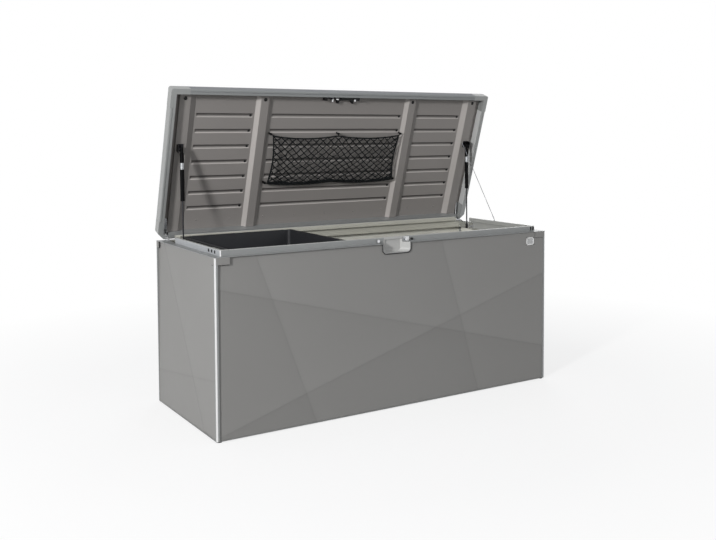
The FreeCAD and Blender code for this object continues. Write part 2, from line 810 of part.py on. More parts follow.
longCollar = collarOutside + shelf + collarInside
sideCollar = collarOutside + plainWall + collarInside

collarReach = halfLength - ledgeWidth - rimCornerFrontLeg - seatGap
flangeReach = halfLength - postSide - panelMetal


def longRim(name, side, ends):
    """A front or rear rim from its three parts, each with its own ends along X."""
    sections = [ledgeSection, flangeSection, longCollar]
    rim = newBody(f"rim_{name}")
    for part, section, (low, high) in zip(("Ledge", "Flange", "Collar"), sections, ends):
        outline = Outline(rim, part + "Section", "YZ_Plane", low).loop(fromFace(side, halfDepth, section))
        pad(rim, outline, asSize(high) - low, part)


reaches = (halfLength, flangeReach, collarReach)
longRim("rear", 1, [(-reach, reach) for reach in reaches])
# The front rim is in two lengths, with the grip cup between them
gripHalves = (cupWidth / 2, cupNeck, cupNeck)
longRim("front_left", -1, [(-reach, cupCentre - half) for reach, half in zip(reaches, gripHalves)])
longRim("front_right", -1, [(cupCentre + half, reach) for reach, half in zip(reaches, gripHalves)])

sideReach = halfDepth - ledgeWidth - frameMetal
sideStart = -halfDepth + ledgeWidth + rimCornerSideLeg + seatGap
sideEnd = halfDepth - sideCollarEnd
for name, side in (("left", -1), ("right", 1)):
    rim = alongY(f"rim_{name}", fromFace(side, halfLength, ledgeSection), -sideReach, sideReach)
    flange = Outline(rim, "FlangeSection", "XZ_Plane", -sideReach)
    flange.loop(fromFace(side, halfLength, flangeSection))
    pad(rim, flange, 2 * sideReach, "Flange")
    top = Outline(rim, "CollarSection", "XZ_Plane", -sideEnd)
    top.loop(fromFace(side, halfLength, sideCollar))
    pad(rim, top, sideEnd - sideStart, "Collar")

# Rim corners: moulded L pieces that close the collar at the front, slotted on their side leg
for name, side in (("left", -1), ("right", 1)):
    outX = side * (halfLength - ledgeWidth + rimCornerProud)
    inX = side * (halfLength - collarInner - rimCornerProud)
    legX = side * (halfLength - ledgeWidth - rimCornerFrontLeg)
    outY = -halfDepth + ledgeWidth - rimCornerProud
    inY = -halfDepth + collarInner + rimCornerProud
    legY = -halfDepth + ledgeWidth + rimCornerSideLeg
    plan = [(outX, outY, rimCornerRadius), (outX, legY), (inX, legY), (inX, inY), (legX, inY), (legX, outY)]
    corner = alongZ(f"rim_corner_{name}", plan, ledge, collarTop + rimCornerProud)
    slots = Outline(corner, "Slots", "YZ_Plane", outX)
    for step in range(3):
        slotY = outY + slotStart + step * slotPitch
        slots.box(slotY, slotY + slotWidth, ledge + slotRise, ledge + slotRise + slotHeight)
    pocket(corner, slots, slotDepth, "Slots", back=side < 0)

# Grip cup: a deep tapered pocket, open at the front and top, with a thin lip on the panel
cup = newBody("grip_cup")
panelFace = frontPressing.inset(float(cupCentre), cupLow)


def cupPlan(name, front, back, wide, narrow, low):
    """The cup seen from above, front and back given as depths behind the front face."""
    plan = Outline(cup, name, "XY_Plane", low)
    return plan.loop([(cupCentre - wide / 2, front - halfDepth), (cupCentre + wide / 2, front - halfDepth),
                      (cupCentre + narrow / 2, back - halfDepth), (cupCentre - narrow / 2, back - halfDepth)])


def roundSides(name, low, radius):
    """Rounds the two slanted edges of the cup that lie at one height."""
    doc.recompute()
    block = cup.Tip
    edges = []
    for index, edge in enumerate(block.Shape.Edges, 1):
        box = edge.BoundBox
        level = abs(box.ZMin - float(low)) < 0.01 and box.ZLength < 0.01
        if level and box.XLength > 1 and box.YLength > 1:
            edges.append(f"Edge{index}")
    rounding = cup.newObject("PartDesign::Fillet", name)
    rounding.Base = (block, edges)
    bind(rounding, "Radius", radius)


cupFront = asSize(round(panelFace - float(cupProud), 1))
cupFrontWidth = cupWidth - 2 * seatGap
cupFloor = ledge - cupDrop + seatGap
cupTop = ledge + cupRise - seatGap
outside = cupPlan("OutsidePlan", cupFront, cupDepth, cupFrontWidth, cupBackWidth, cupFloor)
pad(cup, outside, cupTop - cupFloor, "Outside")
hollowFront = cupFrontWidth - 2 * cupWall
hollowBack = cupBackWidth - 2 * cupWall
hollow = cupPlan("HollowPlan", cupFront, cupDepth - cupWall, hollowFront, hollowBack, cupFloor + cupWall)
pocket(cup, hollow, cupTop - cupFloor, "Hollow", back=True)
roundSides("HollowRound", cupFloor + cupWall, cupCorner - cupWall)
roundSides("OutsideRound", cupFloor, cupCorner)
lip = Outline(cup, "Lip", "XZ_Plane", halfDepth - cupFront)
lipLeft, lipRight = cupCentre - cupFrontWidth / 2 - cupLip, cupCentre + cupFrontWidth / 2 + cupLip
lipTop, lipLow = ledge - frameMetal - seatGap, cupFloor - cupLip
lip.loop([(lipLeft, lipTop), (lipLeft, lipLow, cupCorner + cupLip), (lipRight, lipLow, cupCorner + cupLip),
          (lipRight, lipTop)])
pad(cup, lip, cupLipWall, "Lip")
mouth = Outline(cup, "Mouth", "XZ_Plane", halfDepth - cupFront)
mouthLeft, mouthRight, mouthLow = cupCentre - hollowFront / 2, cupCentre + hollowFront / 2, cupFloor + cupWall
mouth.loop([(mouthLeft, cupTop), (mouthLeft, mouthLow, cupCorner - cupWall),
            (mouthRight, mouthLow, cupCorner - cupWall), (mouthRight, cupTop)])
pocket(cup, mouth, cupLipWall, "Mouth", back=True)
# In front of the collar the cup stays below the ledge, where the lid rail and the latch come down
lowered = Outline(cup, "Lowered", "XZ_Plane", halfDepth - ledgeWidth + seatGap)
lowered.box(cupCentre - cupWidth, cupCentre + cupWidth, ledge, ledge + 2 * cupRise)
pocket(cup, lowered, ledgeWidth, "Lowered", back=True)
# Over the cup a bar carries on the line of the collar
bridgeReach = cupNeck - seatGap
bridgeLow = ledge + cupRise - cupWall
bridge = Outline(cup, "BridgeSection", "YZ_Plane", cupCentre - bridgeReach)
bridge.loop(fromFace(-1, halfDepth, [(ledgeWidth, bridgeLow), (ledgeWidth, collarTop, collarRadius),
                                     (collarInner, collarTop, collarRadius), (collarInner, bridgeLow)]))
pad(cup, bridge, 2 * bridgeReach, "Bridge")

# Blank badge plate near the right upper corner, just clear of the faceted panel
badgeHalf = float(badgeSide) / 2
badgeZ = ledge - badgeDrop
badgeSpots = [(float(badgeX) + sx * badgeHalf, float(badgeZ) + sz * badgeHalf)
              for sx in (-1, 1) for sz in (-1, 1)]
badgeSeat = asSize(round(min(frontPressing.inset(x, z) for x, z in badgeSpots), 2)) - seatGap
badge = newBody("badge_plate")
plateOutline = Outline(badge, "Plate", "XZ_Plane", halfDepth - badgeSeat)
half = badgeSide / 2
plateOutline.box(badgeX - half, badgeX + half, badgeZ - half, badgeZ + half, badgeRadius)
pad(badge, plateOutline, badgeWall)

# Rubber buffer on the ledge that the front rail of the lid comes down beside
buffer = newBody("lid_buffer")
knob = Outline(buffer, "Profile", "YZ_Plane")
knob.loop([(0, 0), (0, bufferRadius), (-bufferLength, bufferRadius), (-bufferLength, 0)])
revolve(buffer, knob, "H_Axis")
moveTo(buffer, bufferX, -halfDepth + ledgeWidth, ledge + studHeight)

# Striker studs on the collar: round heads that the latch hooks slip behind
for name, studX, plated in (("left", studLeft, False), ("right", studRight, True)):
    stud = newBody(f"strike_{name}")
    base = studNeckLength if plated else studNeckLength + plateWall
    half = Outline(stud, "Profile", "YZ_Plane")
    half.loop([(-base - studHeadWidth, 0), (-base - studHeadWidth, studHeadRadius), (-base, studHeadRadius),
               (-base, studNeckRadius), (0, studNeckRadius), (0, 0)])
    revolve(stud, half, "H_Axis")
    if plated:
        plate = Outline(stud, "Plate", "XZ_Plane", -plateWall)
        plateHigh = collarHeight - studHeight - collarRadius
        plate.box(-platePastLeft, platePastRight, seatGap - studHeight, plateHigh)
        pad(stud, plate, plateWall, "Plate")
        moveTo(stud, studX, -halfDepth + ledgeWidth - plateWall, ledge + studHeight)
    else:
        moveTo(stud, studX, -halfDepth + ledgeWidth, ledge + studHeight)

# Hinges: a plate with an ear on the ledge flange, a pin, and an arm that hangs from the lid
flangeX = halfLength - ledgeWidth - frameMetal
hingePins = []
earRadius = hingeEar - hingeSideGap
for name, side in (("left", -1), ("right", 1)):
    plate = newBody(f"hinge_plate_{name}")
    start = side * flangeX if side < 0 else flangeX - hingePlateWall
    lowZ = ledge - ledgeFlange + hingeFoot
    frontY = hingeY - hingePlateLength
    outline = Outline(plate, "Outline", "YZ_Plane", start)
    rearY, nearY, stepY = hingeY + hingeEar, hingeY - hingeEar, hingeY - hingeStep
    footTop = ledge + seatGap
    outline.loop([(rearY, hingeZ + hingeEar, earRadius), (nearY, hingeZ + hingeEar, earRadius),
                  (nearY, ledge + hingeSlope), (stepY, ledge + hingeSlope - hingeKnee),
                  (frontY, ledge - hingeSlope), (frontY, lowZ), (stepY, lowZ), (stepY, footTop),
                  (rearY, footTop)])
    outline.circle(hingeY, hingeZ, hingePinRadius + runningGap)
    pad(plate, outline, hingePlateWall)

    pin = newBody(f"hinge_pin_{name}")
    shaftEnd = hingePlateWall * 2 + hingePinPast
    headRadius = hingePinRadius + hingePinHead
    half = Outline(pin, "Profile", "XY_Plane")
    half.loop([(0, 0), (shaftEnd, 0), (shaftEnd, hingePinRadius), (0, hingePinRadius), (0, headRadius),
               (-hingePinHead, headRadius), (-hingePinHead, 0)])
    revolve(pin, half, "H_Axis")
    headX = flangeX - 2 * hingePlateWall - 2 * hingeSideGap
    if side < 0:
        pin.Placement = Placement(Vector(), Rotation(Vector(0, 0, 1), 180))
    moveTo(pin, side * headX, hingeY, hingeZ)
    hingePins.append(pin)

    arm = newBody(f"hinge_arm_{name}")
    armX = flangeX - hingePlateWall - hingeSideGap
    start = -armX if side < 0 else armX - hingePlateWall
    outline = Outline(arm, "Outline", "YZ_Plane", start)
    armFront = hingeY - hingeArmLength
    neckY = halfDepth - lidRailWidth - hingeKnee
    outline.loop([(rearY, hingeZ + hingeEar), (neckY, hingeZ + hingeEar), (neckY, lidUnder),
                  (armFront, lidUnder),
                  (armFront, lidUnder - hingeSlope), (nearY, hingeZ), (hingeY - hingeToe, hingeZ - hingeHeel),
                  (hingeY + hingeToe, hingeZ - hingeHeel), (rearY, hingeZ)])
    outline.circle(hingeY, hingeZ, hingePinRadius + runningGap)
    pad(arm, outline, hingePlateWall)
    foot = Outline(arm, "Foot", "XY_Plane", lidUnder - hingeFootWall)
    footStart, footEnd = side * (armX - hingePlateWall), side * (armX + hingeFootReach)
    foot.box(footStart, footEnd, armFront, neckY)
    pad(arm, foot, hingeFootWall, "Foot")
    swingOpen(arm)

group("hinge_pins", hingePins)

# Gas springs: drawn upright from the lower ball, then leaned to the upper ball of the open lid
footZ = ledge - springFootDrop
headZ = ledge + springHeadRise
openHeadY, openHeadZ = openY(springHeadY, headZ), openZ(springHeadY, headZ)
springRunY, springRunZ = openHeadY - springFootY, openHeadZ - footZ
springLength = rootOf(springRunY * springRunY + springRunZ * springRunZ)
springLean = angleOf(springRunY, springRunZ)


lowerBrackets, upperBrackets = [], []


def leanSpring(obj, x):
    obj.Placement = Placement(Vector(), Rotation(Vector(-1, 0, 0), springLean.number))
    moveTo(obj, x, springFootY, footZ)
    bind(obj, "Placement.Rotation.Angle", springLean)


for name, side in (("left", -1), ("right", 1)):
    rod = newBody(f"spring_rod_{name}")
    half = Outline(rod, "Profile", "XZ_Plane")
    tip = rodLength
    pistonRadius = cylinderBore - runningGap
    half.loop([(0, -socketBelow), (socketRadius, -socketBelow), (socketRadius, socketAbove - socketTaper),
               (rodRadius, socketAbove), (rodRadius, tip - pistonLength), (pistonRadius, tip - pistonLength),
               (pistonRadius, tip), (0, tip)])
    revolve(rod, half, "V_Axis")
    seat = Outline(rod, "StudSeat", "YZ_Plane", -side * (studPast + seatGap))
    seat.circle(0, 0, studRadius + runningGap)
    pocket(rod, seat, socketRadius + studPast + 1, "StudSeat", back=side > 0)
    leanSpring(rod, side * springX)

    cylinder = newBody(f"spring_cylinder_{name}")
    half = Outline(cylinder, "Profile", "XZ_Plane")
    low, high = springLength - cylinderLength, springLength - socketAbove
    half.loop([(rodRadius + runningGap, low), (cylinderRadius, low), (cylinderRadius, high - cylinderTaper),
               (socketRadius, high), (socketRadius, springLength + socketBelow),
               (0, springLength + socketBelow),
               (0, high - cylinderEndWall), (cylinderBore, high - cylinderEndWall),
               (cylinderBore, low + cylinderEndWall), (rodRadius + runningGap, low + cylinderEndWall)])
    revolve(cylinder, half, "V_Axis")
    leanSpring(cylinder, side * springX)

    lower = newBody(f"spring_bracket_lower_{name}")
    reach = flangeX - hingePlateWall - springX
    seat = Outline(lower, "Plate", "YZ_Plane", reach)
    seat.box(-bracketWidth / 2, bracketWidth / 2, -bracketDrop, bracketRise)
    pad(lower, seat, hingePlateWall, "Plate")
    stud = Outline(lower, "Stud", "YZ_Plane", -studPast).circle(0, 0, studRadius)
    pad(lower, stud, reach + studPast, "Stud")
    if side < 0:
        lower.Placement = Placement(Vector(), Rotation(Vector(0, 0, 1), 180))
    moveTo(lower, side * springX, springFootY, footZ)
    lowerBrackets.append(lower)

    upper = newBody(f"spring_bracket_upper_{name}")
    plateOut = springX + bracketWidth / 2
    plateIn, plateEnd = plateOut - bracketWall, plateOut - bracketReach
    faceZ = braceFaceZ
    section = [(plateIn, headZ - socketRadius), (plateOut, headZ - socketRadius), (plateOut, faceZ),
               (plateEnd, faceZ), (plateEnd, faceZ - bracketWall), (plateIn, faceZ - bracketWall)]
    angleBar = Outline(upper, "Section", "XZ_Plane", -springHeadY - bracketWidth / 2)
    angleBar.loop([(side * a, b) for a, b in section])
    pad(upper, angleBar, bracketWidth, "Angle")
    tipX = springX + socketRadius + openPivotGap
    stud = Outline(upper, "Stud", "YZ_Plane", side * plateIn).circle(springHeadY, headZ, studRadius)
    pad(upper, stud, plateIn - tipX, "Stud", back=side > 0)
    swingOpen(upper)
    upperBrackets.append(upper)
group("spring_brackets_lower", lowerBrackets)
group("spring_brackets_upper", upperBrackets)

# Lid frame: hollow rails with a round outer edge and a groove along the seat
railLow = ledge + lidGap
grooveIn = lidRailWidth / 2 - lidGrooveWidth / 2
grooveOut = lidRailWidth / 2 + lidGrooveWidth / 2
railOutside = [(0, railLow, lidRailRadius), (0, lidUnder), (lidRailWidth, lidUnder), (lidRailWidth, railLow),
               (grooveOut, railLow), (grooveOut, railLow + lidGrooveDepth),
               (grooveIn, railLow + lidGrooveDepth), (grooveIn, railLow)]
railFloor = railLow + lidGrooveDepth + 2 * frameMetal
railInside = [(frameMetal, railFloor), (frameMetal, lidUnder - frameMetal),
              (lidRailWidth - frameMetal, lidUnder - frameMetal), (lidRailWidth - frameMetal, railFloor)]
for name, side in (("front", -1), ("rear", 1)):
    reach = halfLength - lidCapLeg - seatGap
    rail = alongX(f"lid_rail_{name}", fromFace(side, halfDepth, railOutside), -reach, reach,
                  [fromFace(side, halfDepth, railInside)])
    swingOpen(rail)
for name, side in (("left", -1), ("right", 1)):
    reach = halfDepth - lidCapLeg - seatGap
    rail = alongY(f"lid_rail_{name}", fromFace(side, halfLength, railOutside), -reach, reach,
                  [fromFace(side, halfLength, railInside)])
    swingOpen(rail)

# Lid corners: mouldings a little proud of the rails, round in front and chamfered behind
for place, sx, sy in corners:
    outX, outY = sx * (halfLength + lidCapProud), sy * (halfDepth + lidCapProud)
    inX, inY = sx * (halfLength - lidRailWidth - lidCapProud), sy * (halfDepth - lidRailWidth - lidCapProud)
    legX, legY = sx * (halfLength - lidCapLeg), sy * (halfDepth - lidCapLeg)
    if sy < 0:
        outer = [(outX, outY, lidFrontRadius)]
    else:
        outer = [(outX - sx * lidRearChamfer, outY), (outX, outY - lidRearChamfer)]
    plan = outer + [(outX, legY), (inX, legY), (inX, inY), (legX, inY), (legX, outY)]
    cap = alongZ("lid_corner_" + place, plan, railLow - lidCapDrop, lidUnder)
    if sy > 0:
        # The rear corners clear the ledge as the lid turns, and let the hinge through
        bevel = Outline(cap, "Bevel", "YZ_Plane", sx * (halfLength + 1))
        low = railLow - lidCapDrop
        bevel.loop([(outY - lidRearBevel, low), (outY + 1, low), (outY + 1, low + lidRearBevel + 1),
                    (outY, low + lidRearBevel)])
        pocket(cap, bevel, lidCapLeg + 2, "Bevel", back=sx < 0)
        slot = Outline(cap, "HingeSlot", "XY_Plane", hingeZ + hingeEar + hingeSlotGap)
        slotIn, slotOut = flangeX - 2 * hingePlateWall - hingeSlotGap, flangeX + 2
        slot.box(sx * slotIn, sx * slotOut, inY - 1, outY + 1)
        pocket(cap, slot, lidRailDepth, "HingeSlot")
    swingOpen(cap)

# Lid sheet: one pressing over the frame, with seven long beads in each of its three bays
edgeX, edgeY = float(halfLength - sheetEdge), float(halfDepth - sheetEdge)
cutBack, turn = float(lidRearChamfer), float(lidFrontRadius)
bow = turn * (1 - math.sqrt(0.5))
rim = [Vector(-edgeX, -edgeY + turn, 0), Vector(-edgeX, edgeY - cutBack, 0),
       Vector(-edgeX + cutBack, edgeY, 0), Vector(edgeX - cutBack, edgeY, 0),
       Vector(edgeX, edgeY - cutBack, 0), Vector(edgeX, -edgeY + turn, 0)]
edges = [Part.makeLine(rim[i], rim[i + 1]) for i in range(len(rim) - 1)]
frontRight, frontLeft = Vector(edgeX - turn, -edgeY, 0), Vector(-edgeX + turn, -edgeY, 0)
edges.append(Part.Arc(rim[-1], Vector(edgeX - bow, -edgeY + bow, 0), frontRight).toShape())
edges.append(Part.makeLine(frontRight, frontLeft))
edges.append(Part.Arc(frontLeft, Vector(-edgeX + bow, -edgeY + bow, 0), rim[0]).toShape())
lidPlate = Part.Face(Part.Wire(edges)).extrude(Vector(0, 0, float(lidMetal)))
lidPlate.translate(Vector(0, 0, float(lidUnder)))
spots = []
for row in range(beadCount):
    middle = (row - (beadCount - 1) / 2) * float(beadPitch)
    low, high = middle - float(beadWidth) / 2, middle + float(beadWidth) / 2
    bays = ((-bayOuterEnd, -bayOuterStart), (-bayInner, bayInner), (bayOuterStart, bayOuterEnd))
    spots += [(float(bayLow), float(bayHigh), low, high) for bayLow, bayHigh in bays]
lidRise, lidSlope = float(beadHeight), float(beadSlope)
lidSheet = beadedSheet(lidPlate, float(lidUnder), float(lidMetal), spots, lidRise, lidSlope)
swingOpen(shapeNode("lid_sheet", lidSheet))

# Braces and end stiffeners: thin hat sections across the lid
memberEnd = halfDepth - lidRailWidth - lidCapProud - seatGap
for name, side in (("left", -1), ("right", 1)):
    middle = side * braceCentre
    base, face = braceBase / 2, braceFace / 2
    thin = lidMetal
    section = [(middle - base, lidUnder), (middle - face, braceFaceZ), (middle + face, braceFaceZ),
               (middle + base, lidUnder), (middle + base - 2 * thin, lidUnder),
               (middle + face - thin / 2, braceFaceZ + thin), (middle - face + thin / 2, braceFaceZ + thin),
               (middle - base + 2 * thin, lidUnder)]
    swingOpen(alongY(f"lid_brace_{name}", section, -memberEnd, memberEnd))
    outer, inner = stiffenerOuter, stiffenerOuter - stiffenerFace
    section = [(outer, lidUnder), (outer, braceFaceZ), (inner, braceFaceZ),
               (inner - stiffenerSlope, lidUnder),
               (inner - stiffenerSlope + 2 * thin, lidUnder), (inner + thin / 2, braceFaceZ + thin),
               (outer - thin, braceFaceZ + thin), (outer - thin, lidUnder)]
    swingOpen(alongY(f"lid_stiffener_{name}", [(side * a, b) for a, b in section], -memberEnd, memberEnd))


def screwAt(x, y):
    """One low round screw head on the front end of a brace or stiffener."""
    tall = float(screwHead)
    return Part.makeCylinder(float(screwRadius), tall, Vector(x, y, float(braceFaceZ) - tall))


screwX = [float(braceCentre), float(stiffenerOuter - stiffenerFace / 2)]
screwY = float(halfDepth - screwInset)
screws = [screwAt(side * x, -screwY) for x in screwX for side in (-1, 1)]
swingOpen(shapeNode("lid_screws", Part.makeCompound(screws)))

# Latch: a rod in two guides, with a grip and two hooks that slide behind the studs
rodY = -halfDepth + latchRodInset
rodZ = ledge + latchRodHeight
guideLow, guideHigh = collarTop + guideSeat, ledge + latchRodHeight + guideRise


def guideBlock(middle):
    """One guide block on the front rail, bored for the latch rod."""
    width = float(guideWidth)
    block = Part.makeBox(width, float(latchRodInset - lidRailWidth + guideGrip), float(guideHigh - guideLow),
                         Vector(middle - width / 2, -float(halfDepth - lidRailWidth), float(guideLow)))
    bore = Part.makeCylinder(float(latchRodRadius + runningGap), width + 2,
                             Vector(middle - width / 2 - 1, float(rodY), float(rodZ)), Vector(1, 0, 0))
    return block.cut(bore)


guides = [guideBlock(float(latchCentre) + side * float(guideCentreGap) / 2) for side in (-1, 1)]
swingOpen(shapeNode("latch_guides", Part.makeCompound(guides)))

slider = newBody("latch_slider")
rodHalf = guideCentreGap / 2 + guideWidth / 2 + latchTravel
bar = Outline(slider, "Rod", "YZ_Plane", latchCentre - rodHalf).circle(rodY, rodZ, latchRodRadius)
pad(slider, bar, 2 * rodHalf, "Rod")
gripY = rodY - gripThickness / 2
gripLeft, gripRight = gripCentre - gripWidth / 2, gripCentre + gripWidth / 2
gripBack, gripFeet = gripY + gripReach, gripY + gripFootReach
plateHigh = ledge + gripTop
plateLow = plateHigh - gripPlate
grip = Outline(slider, "Grip", "YZ_Plane", gripLeft + gripFootWidth)
grip.loop([(gripY, ledge + gripRise, gripRadius), (gripY + gripThickness, ledge + gripRise, gripRadius),
           (gripY + gripThickness, plateHigh), (gripY, plateHigh)])
pad(slider, grip, gripHang, "Grip")
# Seen from above the grip is a bow: its two ends reach further back than its middle
footLeft, footRight = gripLeft + gripFootWidth, gripRight - gripFootWidth
bow = Outline(slider, "Bow", "XY_Plane", plateLow)
bow.loop([(gripLeft, gripY), (gripRight, gripY), (gripRight, gripFeet), (footRight, gripFeet),
          (footRight - gripArch, gripBack), (footLeft + gripArch, gripBack), (footLeft, gripFeet),
          (gripLeft, gripFeet)])
pad(slider, bow, gripPlate, "Bow")
# The hooks are one plate behind the stud heads, below the guides, with slots open towards -X
hookZ = ledge + studHeight
slot = studNeckRadius + hookSlotGap
hookTop, hookLow = guideLow - guideSeat / 2, ledge + hookFoot
stripLow = hookTop - hookStrip
hooks = Outline(slider, "Hooks", "XZ_Plane", halfDepth - latchRodInset - hookPlate)
left, right = studLeft + latchTravel, studRight + latchTravel
hooks.loop([(left - hookReach, hookZ - slot), (left - hookReach, hookLow), (left + hookBack, hookLow),
            (left + hookBack, stripLow), (right - hookReach, stripLow), (right - hookReach, hookZ + slot),
            (right + slot, hookZ + slot), (right + slot, hookZ - slot), (right - hookReach, hookZ - slot),
            (right - hookReach, hookLow), (right + hookBack, hookLow), (right + hookBack, hookTop),
            (left - hookReach, hookTop), (left - hookReach, hookZ + slot), (left + slot, hookZ + slot),
            (left + slot, hookZ - slot)])
pad(slider, hooks, hookWall, "Hooks")
swingOpen(slider)

# Tray: a deep moulded tray whose lip rides on the shelves of the long rims
tray = newBody("tray")
trayLow, trayHigh = -halfLength + trayLeft, -halfLength + trayLeft + trayWidth
lipY = halfDepth - collarInner - trayGap
wallY = halfDepth - collarInner - shelfWidth - trayWall
lipLow = shelfTop + seatGap
shell = Outline(tray, "Shell", "XY_Plane", lipLow - trayDepth)
shell.box(trayLow + trayReach, trayHigh - trayReach, -wallY, wallY, trayRadius)
pad(tray, shell, trayDepth, "Shell")
flange = Outline(tray, "Flange", "XY_Plane", lipLow).box(trayLow, trayHigh, -lipY, lipY, trayRadius / 2)
pad(tray, flange, trayLip, "Flange")
hollow = Outline(tray, "Hollow", "XY_Plane", lipLow + trayLip)
hollowLow, hollowHigh = trayLow + trayReach + trayWall, trayHigh - trayReach - trayWall
hollow.box(hollowLow, hollowHigh, -wallY + trayWall, wallY - trayWall, trayRadius - trayWall)
pocket(tray, hollow, trayDepth + trayLip - trayWall, "Hollow")


# Net: one flat sheet of diamonds with a hem, its upper edge sagging between three hooks
def sagAt(x):
    """How far the upper edge hangs below the hooks at x."""
    middle = float(netLeft + netRight) / 2
    half = float(netRight - netLeft) / 2
    share = (abs(x - middle) / half) * 2 - 1
    return float(netSag) * (1 - share * share)


def insideNet(x, y):
    hem, cord = float(netHem), float(netCord) / 2
    within = float(netLeft) + hem + cord <= x <= float(netRight) - hem - cord
    return within and float(netTop) + sagAt(x) + hem + cord <= y <= float(netBottom) - hem - cord


def diamond(x, y):
    """One gap of the net, or None where it would cut the hem."""
    halfX = float(netPitchX) / 2 - float(netCord)
    halfY = float(netPitchY) / 2 - float(netCord)
    ring = [(x - halfX, y), (x, y - halfY), (x + halfX, y), (x, y + halfY)]
    if not all(insideNet(px, py) for px, py in ring):
        return None
    ring = [Vector(px, py, netZ) for px, py in ring]
    return Part.makePolygon(ring + [ring[0]])


steps = 8
netZ = float(ledge + netHeight)
netMiddle = float(netLeft + netRight) / 2
upper = []
for half in (0, 1):
    for step in range(steps):
        share = (half * steps + step) / (2 * steps)
        x = float(netLeft) + float(netRight - netLeft) * share
        upper.append(Vector(x, float(netTop) + sagAt(x), netZ))
upper.append(Vector(float(netRight), float(netTop), netZ))
lowerCorners = [Vector(float(side), float(netBottom), netZ) for side in (netRight, netLeft)]
border = upper + lowerCorners
gaps = []
row = 0
y = float(netTop)
while y < float(netBottom):
    count = int(float(netRight - netLeft) / float(netPitchX)) + 2
    for column in range(-count // 2, count // 2 + 1):
        x = netMiddle + (column + 0.5 * (row % 2)) * float(netPitchX)
        gap = diamond(x, y)
        if gap:
            gaps.append(gap)
    row += 1
    y = float(netTop) + row * float(netPitchY) / 2
netFace = Part.makeFace([Part.makePolygon(border + [border[0]])] + gaps, "Part::FaceMakerBullseye")
print("net gaps", len(gaps))
swingOpen(shapeNode("net", netFace.extrude(Vector(0, 0, float(netWall)))))

hookSpots = []
hookIn = float(netHook) / 2 + float(netCord)
for y in (float(netTop) + hookIn, float(netBottom) - hookIn):
    for x in (float(netLeft) + hookIn, netMiddle, float(netRight) - hookIn):
        hookSpots.append((x, y))
hookHalf = float(netHook) / 2
hookLow = float(ledge + netHeight + netWall)
hookTall = float(lidUnder) - hookLow
netHooks = [Part.makeBox(2 * hookHalf, 2 * hookHalf, hookTall, Vector(x - hookHalf, y - hookHalf, hookLow))
            for x, y in hookSpots]
swingOpen(shapeNode("net_hooks", Part.makeCompound(netHooks)))

# Stay: a thin cable from the right collar to the right stiffener, tight when the lid is open
eyeLow = newBody("stay_anchor_lower")
post = Outline(eyeLow, "Post", "XY_Plane").circle(0, 0, stayEye)
pad(eyeLow, post, stayEyeHeight)
moveTo(eyeLow, stayLowX, stayLowY, collarTop)
eyeHigh = newBody("stay_anchor_upper")
post = Outline(eyeHigh, "Post", "XY_Plane", braceFaceZ - stayEyeHeight).circle(stayHighX, stayHighY, stayEye)
pad(eyeHigh, post, stayEyeHeight)
swingOpen(eyeHigh)

stayLow = Vector(float(stayLowX), float(stayLowY), float(collarTop + stayEyeHeight + stayLift))
stayTopZ = braceFaceZ - stayEyeHeight - stayLift
stayHigh = Vector(float(stayHighX), float(openY(stayHighY, stayTopZ)), float(openZ(stayHighY, stayTopZ)))
cable = Part.makeCylinder(float(stayRadius), (stayHigh - stayLow).Length, stayLow, stayHigh - stayLow)
shapeNode("stay_cable", cable)

doc.recompute()

print("front panel inset", round(frontPressing.deepest(), 2), "side", round(leftPressing.deepest(), 2))
closedLength = math.hypot(float(springHeadY - springFootY), float(headZ - footZ))
closedAngle = math.degrees(math.atan2(float(headZ - footZ), float(springHeadY - springFootY)))
print("spring open", round(float(springLength), 3), "closed", round(closedLength, 3),
      "turn", round(closedAngle - 90 + float(springLean), 4), "lean", round(float(springLean), 4))
print("hinge", float(hingeY), float(hingeZ), "lower ball", float(springFootY), float(footZ),
      "upper ball", round(float(openHeadY), 2), round(float(openHeadZ), 2))
print("stay", stayLow, stayHigh, round((stayHigh - stayLow).Length, 1))

failed = [obj.Label for obj in doc.Objects if {"Invalid", "Error"} & set(obj.State)]
if failed:
    raise RuntimeError("not built: " + ", ".join(failed))
for obj in nodes:
    if obj.Shape.isNull() or not obj.Shape.isValid():
        raise RuntimeError("bad shape: " + obj.Label)
for obj in nodes:
    obj.Shape.exportStep(os.path.join("parts", obj.Label + ".step"))
print("nodes", len(nodes))
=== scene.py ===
import math
import random

import bmesh
import bpy
from mathutils import Matrix, Vector


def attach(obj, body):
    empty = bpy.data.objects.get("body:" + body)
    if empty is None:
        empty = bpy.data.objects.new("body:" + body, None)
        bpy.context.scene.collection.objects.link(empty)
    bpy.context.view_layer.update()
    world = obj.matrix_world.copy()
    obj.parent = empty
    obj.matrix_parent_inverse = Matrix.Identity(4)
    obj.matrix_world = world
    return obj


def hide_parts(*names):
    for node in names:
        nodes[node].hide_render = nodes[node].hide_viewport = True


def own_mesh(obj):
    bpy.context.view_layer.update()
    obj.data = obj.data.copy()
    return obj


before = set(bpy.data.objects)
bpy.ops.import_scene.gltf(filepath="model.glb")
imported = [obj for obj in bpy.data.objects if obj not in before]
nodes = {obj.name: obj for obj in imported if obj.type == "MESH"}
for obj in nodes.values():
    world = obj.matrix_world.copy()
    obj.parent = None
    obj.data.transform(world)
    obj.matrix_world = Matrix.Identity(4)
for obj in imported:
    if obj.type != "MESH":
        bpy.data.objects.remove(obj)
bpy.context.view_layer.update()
print("frame loaded")

# The view: the photograph is 716 by 540, taken from the front left, a little above the box
view = {
    "place": (-2.584, -4.5055, 1.4619),
    "yaw": -0.6072,
    "pitch": 0.0558,       # downwards
    "focal": 936.7412,     # in pixels
    "centre": (440, 180),  # where the lens axis meets the picture
    "picture": (716, 540),
    "sensor": 36,          # in millimetres
    "farthest": 60,
}


